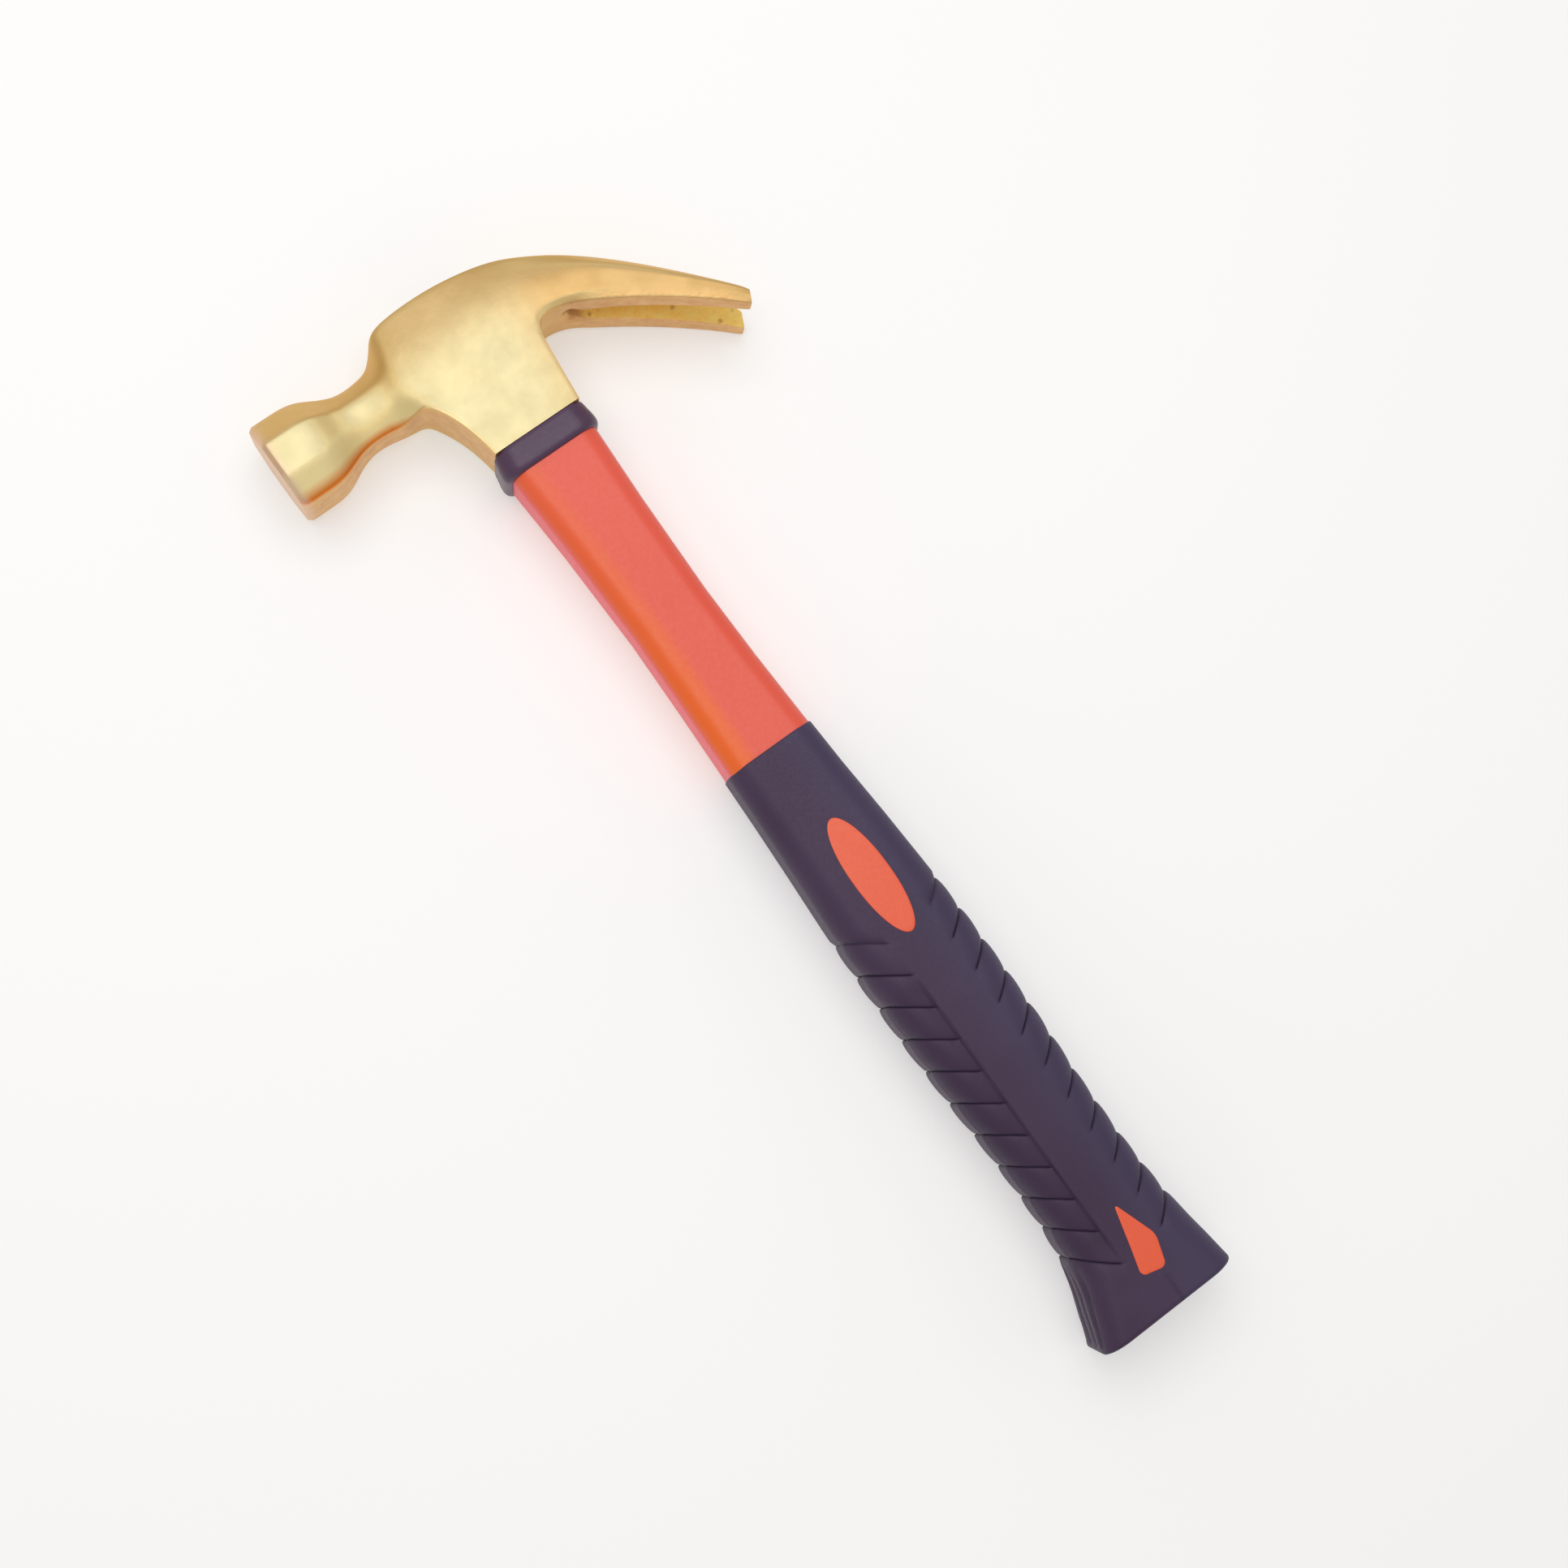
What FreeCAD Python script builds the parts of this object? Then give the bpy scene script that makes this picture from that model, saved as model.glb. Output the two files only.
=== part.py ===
import FreeCAD, Part
import math
import os
import Sketcher

# Claw hammer lying on its side: +Y runs up the handle towards the head, +X towards the
# claw tips and +Z away from the surface it lies on. The pieces are drawn with y = 0 at the
# seam between head and collar, x = 0 on the rod and z = 0 on the mid-plane, and each is
# then placed so that the origin is at the middle of the underside.

SIZES = [
    # overall
    ("faceReach", 62.8, "striking face from the rod"),
    ("clawReach", 66.9, "claw tips from the rod"),
    ("crownHeight", 47.0, "crown above the seam"),
    ("handleLength", 282.7, "butt below the seam"),
    # poll and neck, octagons across the flats
    ("pollFlats", 26.4, "poll"),
    ("pollAxis", 30.0, "poll axis above the seam"),
    ("pollLength", 12.0, "straight part of the poll"),
    ("faceChamfer", 1.1, "bevel round the striking face"),
    ("neckFlats", 16.8, "neck at its thinnest"),
    ("neckReach", 36.5, "thinnest place from the rod"),
    ("rootFlats", 20.6, "neck where it enters the cheeks"),
    ("rootReach", 24.0, "that place from the rod"),
    # cheeks
    ("skirtFront", 14.2, "front of the eye wall at the seam"),
    ("skirtRear", 12.9, "rear of the eye wall at the seam"),
    ("skirtHalf", 11.2, "half thickness at the seam"),
    ("cheekHalf", 12.6, "half thickness over the eye"),
    ("skirtFlare", 38.0, "radius of the flare in front of the eye"),
    # claws
    ("crotchReach", 15.4, "inner corner of the claws from the rod"),
    ("crotchHeight", 24.4, "underside of the claws at their root"),
    ("crotchRadius", 5.4, "rounding of the inner corner"),
    ("clawMidReach", 40.0, "middle of the claws from the rod"),
    ("clawMidHeight", 17.3, "underside there"),
    ("clawMidDepth", 11.2, "upright thickness there"),
    ("clawTipDrop", 3.2, "claw tips below the seam"),
    ("clawTipDepth", 3.4, "thickness of the tips"),
    ("clawTipHalf", 14.0, "half width over the tips, wider than the cheeks"),
    ("slotRoot", 27.0, "root of the nail slot from the rod"),
    ("slotRootHalf", 1.0, "half width of the slot at its root"),
    ("slotTipHalf", 4.3, "half width of the slot at the tips"),
    # eye and rod
    ("rodWidth", 15.0, "glass-fibre rod, front to back"),
    ("rodThickness", 11.0, "glass-fibre rod, side to side"),
    ("eyeWidth", 18.2, "eye at the seam, front to back"),
    ("eyeThickness", 14.0, "eye at the seam, side to side"),
    ("eyeTaper", 2.6, "how much wider the eye is at the crown"),
    ("plugSeat", 36.0, "underside of the plug above the seam"),
    ("plugTop", 44.4, "top of the plug above the seam"),
    ("rodEnd", 262.0, "lower end of the rod below the seam"),
    # collar
    ("collarDepth", 8.0, "collar"),
    ("collarWall", 2.6, "wall of the collar"),
    ("collarLap", 1.5, "collar stands out past the jacket"),
    ("collarRound", 1.4, "rounding of the collar edges"),
    # jacket: front, rear and half thickness of each section
    ("jacketFront", 14.2, "under the collar"),
    ("jacketRear", 12.5, "under the collar"),
    ("jacketHalf", 10.9, "under the collar"),
    ("waistDepth", 60.0, "waist below the seam"),
    ("waistFront", 12.4, "waist"),
    ("waistRear", 11.3, "waist"),
    ("waistHalf", 10.2, "waist"),
    ("shoulderFront", 13.4, "jacket where the grip starts"),
    ("shoulderRear", 12.4, "jacket where the grip starts"),
    ("shoulderHalf", 11.0, "jacket where the grip starts"),
    ("jacketCorner", 6.6, "corner radius of the jacket"),
    # grip
    ("gripStart", 104.2, "top of the grip below the seam"),
    ("gripLap", 0.5, "grip stands out past the jacket"),
    ("gripWall", 3.0, "rubber wall"),
    ("gripFloor", 5.0, "rubber under the jacket's end"),
    ("gripCorner", 9.0, "corner radius of the grip"),
    ("swellDepth", 186.0, "fullest place of the grip"),
    ("swellFront", 16.6, "there"),
    ("swellRear", 16.4, "there"),
    ("swellHalf", 13.8, "there"),
    ("pinchDepth", 238.0, "slim place above the butt"),
    ("pinchFront", 15.1, "there"),
    ("pinchRear", 15.2, "there"),
    ("pinchHalf", 13.3, "there"),
    ("buttFront", 23.6, "flared butt"),
    ("buttRear", 19.0, "flared butt"),
    ("buttHalf", 14.6, "flared butt"),
    # ribs
    ("ribCount", 11, "grooves each side of the spine"),
    ("ribStart", 165.0, "inner end of the first groove below the seam"),
    ("ribPitch", 10.2, "from groove to groove"),
    ("ribSlant", 35.0, "rise of a groove from the spine outwards, degrees"),
    ("ribWidth", 1.3, "groove"),
    ("ribDepth", 0.9, "groove"),
    ("spineHalf", 6.2, "half width of the smooth spine"),
    # inserts
    ("ovalTop", 128.4, "top of the oval below the seam"),
    ("ovalBottom", 164.6, "bottom of the oval below the seam"),
    ("ovalHalf", 5.4, "half width of the oval"),
    ("kiteTop", 252.4, "point of the kite below the seam"),
    ("kiteWide", 266.0, "widest place of the kite below the seam"),
    ("kiteBottom", 272.6, "lower edge of the kite below the seam"),
    ("kiteHalf", 5.0, "half width of the kite"),
    ("kiteFoot", 3.0, "half width of its lower edge"),
]

OCTAGON_SHORT = math.tan(math.radians(22.5))


class Length:
    """A size that carries its value and the expression it is bound by."""

    def __init__(self, value, text):
        self.value = value
        self.text = text

    def __neg__(self):
        return Length(-self.value, f"-({self.text})")

    def __add__(self, other):
        other = asLength(other)
        return Length(self.value + other.value, f"({self.text} + {other.text})")

    def __sub__(self, other):
        other = asLength(other)
        return Length(self.value - other.value, f"({self.text} - {other.text})")

    def __mul__(self, share):
        return Length(self.value * share, f"({self.text}) * {share:.6f}")


def asLength(number):
    if isinstance(number, Length):
        return number
    return Length(float(number), f"{float(number):.6f}")


def makeSheet():
    sheet = doc.addObject("Spreadsheet::Sheet", "Sizes")
    lengths = {}
    for row, (alias, value, note) in enumerate(SIZES, start=1):
        sheet.set(f"A{row}", alias)
        sheet.set(f"B{row}", str(value))
        sheet.set(f"C{row}", note)
        sheet.setAlias(f"B{row}", alias)
        lengths[alias] = Length(float(value), f"Sizes.{alias}")
    doc.recompute()
    return lengths


def newBody(label):
    """A body in the hammer's own place, moved so that the origin is under its middle."""
    body = doc.addObject("PartDesign::Body", label)
    body.Label = label
    for axis, move in zip("xyz", shift):
        body.setExpression(f"Placement.Base.{axis}", move.text)
    return body


def newSketch(body, name, role, offset):
    """A sketch on one of the body's own origin planes, moved along that plane's normal."""
    sketch = body.newObject("Sketcher::SketchObject", name)
    planes = [item for item in body.Origin.OriginFeatures if item.Role == role]
    sketch.AttachmentSupport = [(planes[0], "")]
    sketch.MapMode = "FlatFace"
    sketch.setExpression("AttachmentOffset.Base.z", asLength(offset).text)
    return sketch


def bind(sketch, kind, places, length, name):
    index = sketch.addConstraint(Sketcher.Constraint(kind, *places, length.value))
    sketch.renameConstraint(index, name)
    sketch.setExpression(f"Constraints.{name}", length.text)


def arcBetween(start, end, radius, side):
    """Arc from start to end; side is 1 where it turns left on the way, -1 where it turns right."""
    chord = end - start
    rise = math.sqrt(radius ** 2 - (chord.Length / 2) ** 2)
    normal = FreeCAD.Vector(-chord.y, chord.x, 0).normalize()
    centre = (start + end) * 0.5 + normal * rise * side
    first, last = (start, end) if side > 0 else (end, start)
    angles = [math.atan2(point.y - centre.y, point.x - centre.x) for point in (first, last)]
    circle = Part.Circle(centre, FreeCAD.Vector(0, 0, 1), radius)
    return Part.ArcOfCircle(circle, angles[0], angles[1])


def drawOutline(sketch, points, name=""):
    """Closed outline. A point is (x, y) or, where an arc leaves it, (x, y, radius, side)."""
    first = sketch.GeometryCount
    corners = [[asLength(point[0]), asLength(point[1])] for point in points]
    places = [FreeCAD.Vector(x.value, y.value, 0) for x, y in corners]
    ends = []
    for index, point in enumerate(points):
        start = places[index]
        end = places[(index + 1) % len(points)]
        if len(point) == 2:
            sketch.addGeometry(Part.LineSegment(start, end))
            ends.append((1, 2))
        else:
            radius, side = asLength(point[2]), point[3]
            sketch.addGeometry(arcBetween(start, end, radius.value, side))
            ends.append((1, 2) if side > 0 else (2, 1))
            bind(sketch, "Radius", (first + index,), radius, f"{name}radius{index}")
    for index, (x, y) in enumerate(corners):
        before = index - 1 if index else len(points) - 1
        start = (first + index, ends[index][0])
        join = (first + before, ends[before][1], *start)
        sketch.addConstraint(Sketcher.Constraint("Coincident", *join))
        bind(sketch, "DistanceX", (-1, 1, *start), x, f"{name}x{index}")
        bind(sketch, "DistanceY", (-1, 1, *start), y, f"{name}y{index}")


def drawRounded(sketch, front, rear, half, corner):
    """Section across the handle: a rounded rectangle from -front to rear and -half to half."""
    left, right, top = -front.value, rear.value, half.value
    radius = corner.value
    turns = [(left + radius, top - radius, 90), (left + radius, radius - top, 180),
             (right - radius, radius - top, 270), (right - radius, top - radius, 0)]
    for index, (x, y, angle) in enumerate(turns):
        circle = Part.Circle(FreeCAD.Vector(x, y, 0), FreeCAD.Vector(0, 0, 1), radius)
        sketch.addGeometry(Part.ArcOfCircle(circle, math.radians(angle), math.radians(angle + 90)))
        following = turns[(index + 1) % 4]
        turn = math.radians(angle + 90)
        reach = FreeCAD.Vector(math.cos(turn), math.sin(turn), 0) * radius
        start = FreeCAD.Vector(x, y, 0) + reach
        end = FreeCAD.Vector(following[0], following[1], 0) + reach
        sketch.addGeometry(Part.LineSegment(start, end))
    for index in range(4):
        arc, side = 2 * index, 2 * index + 1
        following = (arc + 2) % 8
        sketch.addConstraint(Sketcher.Constraint("Tangent", arc, 2, side, 1))
        sketch.addConstraint(Sketcher.Constraint("Tangent", side, 2, following, 1))
        if index % 2:
            sketch.addConstraint(Sketcher.Constraint("Horizontal", side))
        else:
            sketch.addConstraint(Sketcher.Constraint("Vertical", side))
        if index:
            sketch.addConstraint(Sketcher.Constraint("Equal", 0, arc))
    # the first side is the front, then come the underside, the rear and the top
    bind(sketch, "Radius", (0,), corner, "corner")
    bind(sketch, "DistanceX", (-1, 1, 1, 1), -front, "front")
    bind(sketch, "DistanceY", (-1, 1, 3, 1), -half, "under")
    bind(sketch, "DistanceX", (-1, 1, 5, 1), rear, "rear")
    bind(sketch, "DistanceY", (-1, 1, 7, 1), half, "over")


def drawStadium(sketch, width, thickness):
    """Section of the rod and of the eye: straight sides and round ends."""
    radius = thickness * 0.5
    reach = (width - thickness) * 0.5
    for side, angle in ((1, -90), (-1, 90)):
        centre = FreeCAD.Vector(side * reach.value, 0, 0)
        circle = Part.Circle(centre, FreeCAD.Vector(0, 0, 1), radius.value)
        sketch.addGeometry(Part.ArcOfCircle(circle, math.radians(angle), math.radians(angle + 180)))
        start = FreeCAD.Vector(side * reach.value, side * radius.value, 0)
        end = FreeCAD.Vector(-side * reach.value, side * radius.value, 0)
        sketch.addGeometry(Part.LineSegment(start, end))
    for index in range(4):
        sketch.addConstraint(Sketcher.Constraint("Tangent", index, 2, (index + 1) % 4, 1))
    sketch.addConstraint(Sketcher.Constraint("Equal", 0, 2))
    bind(sketch, "Radius", (0,), radius, "end")
    bind(sketch, "DistanceX", (-1, 1, 0, 3), reach, "right")
    bind(sketch, "DistanceX", (-1, 1, 2, 3), -reach, "left")
    sketch.addConstraint(Sketcher.Constraint("PointOnObject", 0, 3, -1))
    sketch.addConstraint(Sketcher.Constraint("PointOnObject", 2, 3, -1))


def drawOctagon(sketch, axis, flats):
    """Octagon round the poll's axis, flats facing up, down and to both sides."""
    half = flats * 0.5
    short = half * OCTAGON_SHORT
    turns = [(half, short), (short, half), (-short, half), (-half, short),
             (-half, -short), (-short, -half), (short, -half), (half, -short)]
    drawOutline(sketch, [(axis + across, upright) for across, upright in turns])


def pad(body, sketch, length, symmetric=False):
    feature = body.newObject("PartDesign::Pad", sketch.Name + "Pad")
    feature.Profile = sketch
    feature.Midplane = symmetric
    feature.setExpression("Length", asLength(length).text)
    return feature


def pocketThrough(body, sketch):
    before = volumeOf(body)
    feature = body.newObject("PartDesign::Pocket", sketch.Name + "Pocket")
    feature.Profile = sketch
    feature.Type = "ThroughAll"
    feature.Midplane = True
    doc.recompute()
    if not volumeOf(body) < before:
        raise RuntimeError(f"{feature.Name} cuts nothing")
    return feature


def loft(body, sketches, kind="PartDesign::AdditiveLoft"):
    feature = body.newObject(kind, sketches[0].Name + "Loft")
    feature.Profile = sketches[0]
    feature.Sections = sketches[1:]
    return feature


def volumeOf(item):
    doc.recompute()
    return item.Shape.Volume


def combine(kind, label, base, tools):
    """Boolean of whole solids that are drawn in the same place."""
    feature = doc.addObject(kind, label)
    feature.Label = label
    if kind == "Part::Cut":
        feature.Base = base
        feature.Tool = tools[0]
    else:
        feature.Shapes = [base] + tools
    return feature


def handleSections(body, name, rows, corner):
    """Rounded sections down the handle; a row is (depth, front, rear, half thickness)."""
    sketches = []
    for index, (depth, front, rear, half) in enumerate(rows, start=1):
        sketch = newSketch(body, f"{name}{index}", "XZ_Plane", depth)
        drawRounded(sketch, front, rear, half, corner)
        sketches.append(sketch)
    return sketches


def eyeSection(body, name, level):
    """Section of the tapered eye at a level above the seam."""
    share = level.value / crownHeight.value
    growth = Length(size["eyeTaper"].value * share,
                    f"Sizes.eyeTaper * ({level.text}) / Sizes.crownHeight")
    sketch = newSketch(body, name, "XZ_Plane", -level)
    drawStadium(sketch, size["eyeWidth"] + growth, size["eyeThickness"] + growth)
    return sketch


def makeEye(label, bottom, top):
    body = newBody(label)
    loft(body, [eyeSection(body, label + "Low", bottom), eyeSection(body, label + "High", top)])
    return body


def makePoll():
    """The straight poll with its bevelled striking face, and the neck that leaves it."""
    body = newBody("pollBlank")
    straightEnd = size["faceReach"] - size["pollLength"]
    sketch = newSketch(body, "pollSection", "YZ_Plane", -size["faceReach"])
    drawOctagon(sketch, pollAxis, size["pollFlats"])
    blank = pad(body, sketch, size["pollLength"])
    doc.recompute()
    face = -size["faceReach"].value
    rim = [f"Edge{index}" for index, edge in enumerate(blank.Shape.Edges, start=1)
           if all(abs(vertex.X - face) < 0.001 for vertex in edge.Vertexes)]
    bevel = body.newObject("PartDesign::Chamfer", "faceBevel")
    bevel.Base = (blank, rim)
    bevel.setExpression("Size", size["faceChamfer"].text)

    # each row is the place along the poll, the width across the flats and the axis
    neckAxis = pollAxis - 0.4
    rows = [(straightEnd, size["pollFlats"], pollAxis)]
    run = straightEnd - size["neckReach"]
    growth = size["pollFlats"] - size["neckFlats"]
    for along, swell in ((0.67, 0.68), (0.37, 0.2), (0.0, 0.0)):
        rows.append((size["neckReach"] + run * along, size["neckFlats"] + growth * swell, neckAxis))
    run = size["neckReach"] - size["rootReach"]
    growth = size["rootFlats"] - size["neckFlats"]
    rows.append((size["rootReach"] + run * 0.5, size["neckFlats"] + growth * 0.25, neckAxis + 0.4))
    rows.append((size["rootReach"], size["rootFlats"], neckAxis + 1.1))
    rows.append((size["rootReach"] - run * 0.5, size["rootFlats"] + 0.6, neckAxis + 1.3))
    sketches = []
    for index, (reach, flats, axis) in enumerate(rows, start=1):
        sketch = newSketch(body, f"neck{index}", "YZ_Plane", -reach)
        drawOctagon(sketch, axis, flats)
        sketches.append(sketch)
    loft(body, sketches)
    return body


def makeCheeks():
    """Cheeks and claws: a side view crossed with a plan view, with a tapered skirt."""
    side = newBody("sideBlank")
    sketch = newSketch(side, "sideView", "XY_Plane", 0)
    clawTop = size["clawMidHeight"] + size["clawMidDepth"]
    drawOutline(sketch, [
        (-size["skirtFront"], 0, size["skirtFlare"], 1),
        (-(size["skirtFront"] + 7.1), 22.1),
        (-(size["rootReach"] + 0.5), pollAxis + 10.2, 9.5, -1),
        (-14, crownHeight, 94, -1),
        (20.5, crownHeight - 5.4, 95, -1),
        (size["clawMidReach"], clawTop, 125, -1),
        (size["clawReach"], size["clawTipDepth"] - size["clawTipDrop"]),
        (size["clawReach"] - 1.2, -size["clawTipDrop"], 120, 1),
        (size["clawMidReach"], size["clawMidHeight"], 45, 1),
        (size["crotchReach"] + size["crotchRadius"], size["crotchHeight"],
         size["crotchRadius"], 1),
        (size["crotchReach"], size["crotchHeight"] - size["crotchRadius"]),
        (size["skirtRear"], 0),
    ])
    pad(side, sketch, size["clawTipHalf"] * 2, symmetric=True)

    plan = newBody("planBlank")
    sketch = newSketch(plan, "planView", "XZ_Plane", 0)
    beyond = size["clawReach"] + 5
    front = -(size["rootReach"] + 5)
    drawOutline(sketch, [
        (front, size["rootFlats"] * 0.5 - 1), (-10, size["cheekHalf"]),
        (size["slotRoot"], size["cheekHalf"]), (beyond, size["clawTipHalf"]),
        (beyond, -size["clawTipHalf"]), (size["slotRoot"], -size["cheekHalf"]),
        (-10, -size["cheekHalf"]), (front, -(size["rootFlats"] * 0.5 - 1)),
    ])
    pad(plan, sketch, crownHeight * 2 + 20, symmetric=True)
    blank = combine("Part::MultiCommon", "cheekBlank", side, [plan])
    return combine("Part::Cut", "cheekTapered", blank, [makeSkirtTaper()])


def makeSkirtTaper():
    """Wedges that thin the eye wall from the claws' underside down to the seam."""
    body = newBody("skirtTaper")
    body.AllowCompound = True
    sketch = newSketch(body, "taperView", "YZ_Plane", -(size["rootReach"] + 15))
    beyond = size["cheekHalf"] + 5
    for side in (-1, 1):
        drawOutline(sketch, [
            (size["crotchHeight"], size["cheekHalf"] * side), (size["crotchHeight"], beyond * side),
            (0, beyond * side), (0, size["skirtHalf"] * side),
        ], f"side{side + 1}")
    pad(body, sketch, size["rootReach"] + 15 + size["crotchReach"] + 2.5)
    return body


def makeHead(eye):
    slot = newBody("slotBlank")
    sketch = newSketch(slot, "slotView", "XZ_Plane", 0)
    beyond = size["clawReach"] + 5
    growth = size["slotTipHalf"] - size["slotRootHalf"]
    run = (size["clawReach"] - size["slotRoot"]).value
    tipHalf = size["slotTipHalf"] + growth * (5 / run)
    drawOutline(sketch, [
        (size["slotRoot"], size["slotRootHalf"]), (beyond, tipHalf),
        (beyond, -tipHalf), (size["slotRoot"], -size["slotRootHalf"]),
    ])
    pad(slot, sketch, crownHeight * 2 + 20, symmetric=True)

    solid = combine("Part::MultiFuse", "headBlank", makePoll(), [makeCheeks()])
    holes = combine("Part::MultiFuse", "headHoles", eye, [slot])
    return combine("Part::Cut", "head", solid, [holes])


def makeRod():
    body = newBody("core_rod")
    top = size["plugSeat"]
    sketch = newSketch(body, "rodSection", "XZ_Plane", -top)
    drawStadium(sketch, size["rodWidth"], size["rodThickness"])
    pad(body, sketch, top + size["rodEnd"])
    return body


def makeCollar():
    body = newBody("collar")
    lap, wall = size["collarLap"], size["collarWall"]
    reaches = (size["jacketFront"], size["jacketRear"], size["jacketHalf"])
    outer = [reach + lap for reach in reaches]
    inner = [reach - wall for reach in outer]
    sketch = newSketch(body, "collarOuter", "XZ_Plane", 0)
    drawRounded(sketch, *outer, size["jacketCorner"] + lap)
    ring = pad(body, sketch, size["collarDepth"])
    doc.recompute()
    low = -size["collarDepth"].value
    rims = []
    for index, edge in enumerate(ring.Shape.Edges, start=1):
        box = edge.BoundBox
        if box.YLength < 0.001 and abs(box.YMin - low) < 0.001:
            rims.append(f"Edge{index}")
    rounding = body.newObject("PartDesign::Fillet", "collarRounding")
    rounding.Base = (ring, rims)
    rounding.setExpression("Radius", size["collarRound"].text)
    sketch = newSketch(body, "collarBore", "XZ_Plane", 0)
    drawRounded(sketch, *inner, size["jacketCorner"] + lap - wall)
    pocketThrough(body, sketch)
    return body, inner


def tailRows(inset):
    """The handle under the grip's top; inset makes it thinner all round."""
    lap = size["gripLap"]
    rows = [(size["gripStart"], size["shoulderFront"] + lap, size["shoulderRear"] + lap,
             size["shoulderHalf"] + lap)]
    places = ("swell", "pinch")
    for name in places:
        rows.append(tuple(size[name + part] for part in ("Depth", "Front", "Rear", "Half")))
    return [(depth, front - inset, rear - inset, half - inset)
            for depth, front, rear, half in rows]


def makeGripBlank(label, inset):
    """Outer form of the grip; inset draws the same form thinner all round."""
    body = newBody(label)
    butt = (size["handleLength"], size["buttFront"] - inset, size["buttRear"] - inset,
            size["buttHalf"] - inset)
    rows = tailRows(inset)
    # the butt flares only below the pinch, so one more section holds the slim stretch
    run = size["handleLength"] - size["pinchDepth"]
    pinch, flare = rows[-1], (0.45, 0.2)
    middle = [near + (far - near) * flare[1] for near, far in zip(pinch[1:], butt[1:])]
    rows.append((pinch[0] + run * flare[0], *middle))
    rows.append(butt)
    sketches = handleSections(body, label, rows, size["gripCorner"] - inset * 0.5)
    loft(body, sketches)
    return body


def makeJacket(neck, rod):
    """Visible waist, the neck inside the collar and the tail inside the grip, on the rod."""
    body = newBody("jacketBlank")
    corner = size["jacketCorner"]
    rows = [(size["collarDepth"], size["jacketFront"], size["jacketRear"], size["jacketHalf"]),
            (size["waistDepth"], size["waistFront"], size["waistRear"], size["waistHalf"]),
            (size["gripStart"], size["shoulderFront"], size["shoulderRear"],
             size["shoulderHalf"])]
    loft(body, handleSections(body, "jacket", rows, corner))
    sketch = newSketch(body, "jacketNeck", "XZ_Plane", 0)
    drawRounded(sketch, *neck, corner + size["collarLap"] - size["collarWall"])
    pad(body, sketch, size["collarDepth"])
    tail = newBody("tailBlank")
    loft(tail, handleSections(tail, "tail", tailEnds(), size["gripCorner"] - size["gripWall"]))
    solid = combine("Part::MultiFuse", "jacketSolid", body, [tail])
    return combine("Part::Cut", "handle_jacket", solid, [rod]), tail


def tailEnds():
    rows = tailRows(size["gripWall"])
    end = rows[-1]
    rows.append((size["handleLength"] - size["gripFloor"], *end[1:]))
    return rows


def makeOvalColumns():
    """Columns with the oval's section, one up and one down from the mid-plane."""
    middle = (size["ovalTop"] + size["ovalBottom"]) * 0.5
    ring = doc.addObject("Part::Ellipse", "ovalOutline")
    ring.setExpression("MajorRadius", ((size["ovalBottom"] - size["ovalTop"]) * 0.5).text)
    ring.setExpression("MinorRadius", size["ovalHalf"].text)
    ring.setExpression("Placement.Base.x", shift[0].text)
    ring.setExpression("Placement.Base.y", (shift[1] - middle).text)
    ring.setExpression("Placement.Base.z", shift[2].text)
    ring.Placement.Rotation = FreeCAD.Rotation(FreeCAD.Vector(0, 0, 1), 90)
    columns = []
    for side, upright in (("near", 1), ("far", -1)):
        column = doc.addObject("Part::Extrusion", f"oval{side.title()}Column")
        column.Base = ring
        column.DirMode = "Custom"
        column.Dir = FreeCAD.Vector(0, 0, upright)
        column.Solid = True
        column.setExpression("LengthFwd", (size["buttHalf"] + 10).text)
        columns.append((side, column))
    return columns


def makeKiteColumns():
    """The same for the kite."""
    columns = []
    for side in ("near", "far"):
        column = newBody(f"kite{side.title()}Column")
        sketch = newSketch(column, column.Name + "View", "XY_Plane", 0)
        drawOutline(sketch, [
            (0, -size["kiteTop"]), (-size["kiteHalf"], -size["kiteWide"]),
            (-size["kiteFoot"], -size["kiteBottom"]), (size["kiteFoot"], -size["kiteBottom"]),
            (size["kiteHalf"], -size["kiteWide"]),
        ])
        pad(column, sketch, size["buttHalf"] + 10).Reversed = side == "far"
        columns.append((side, column))
    return columns


def makeInserts(name, columns, blank, tail):
    """Each insert fills its window from the jacket out to the grip's surface."""
    for side, column in columns:
        plug = combine("Part::MultiCommon", f"{name}{side.title()}Plug", blank, [column])
        nodes.append(combine("Part::Cut", f"{name}_insert_{side}", plug, [tail]))


def makeRibs(name, side):
    """Slanted plates on one side of the spine, repeated down the grip."""
    body = newBody(name)
    body.AllowCompound = True
    sketch = newSketch(body, name + "View", "XY_Plane", 0)
    reach = size["swellFront"] + 6
    run = reach - size["spineHalf"]
    rise = Length(run.value * math.tan(math.radians(size["ribSlant"].value)),
                  f"({run.text}) * tan(Sizes.ribSlant * 1deg)")
    thick = size["ribWidth"] * 0.5
    inner, outer = size["spineHalf"] * side, reach * side
    top = -size["ribStart"]
    points = [(inner, top + thick), (outer, top + rise + thick),
              (outer, top + rise - thick), (inner, top - thick)]
    drawOutline(sketch, points)
    plate = pad(body, sketch, (size["buttHalf"] + 5) * 2, symmetric=True)
    doc.recompute()
    ribs = body.newObject("PartDesign::LinearPattern", name + "Row")
    ribs.Originals = [plate]
    ribs.Direction = (sketch, ["V_Axis"])
    ribs.Reversed = True
    ribs.setExpression("Length", "Sizes.ribPitch * (Sizes.ribCount - 1)")
    ribs.setExpression("Occurrences", "Sizes.ribCount")
    body.Tip = ribs
    return body


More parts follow.
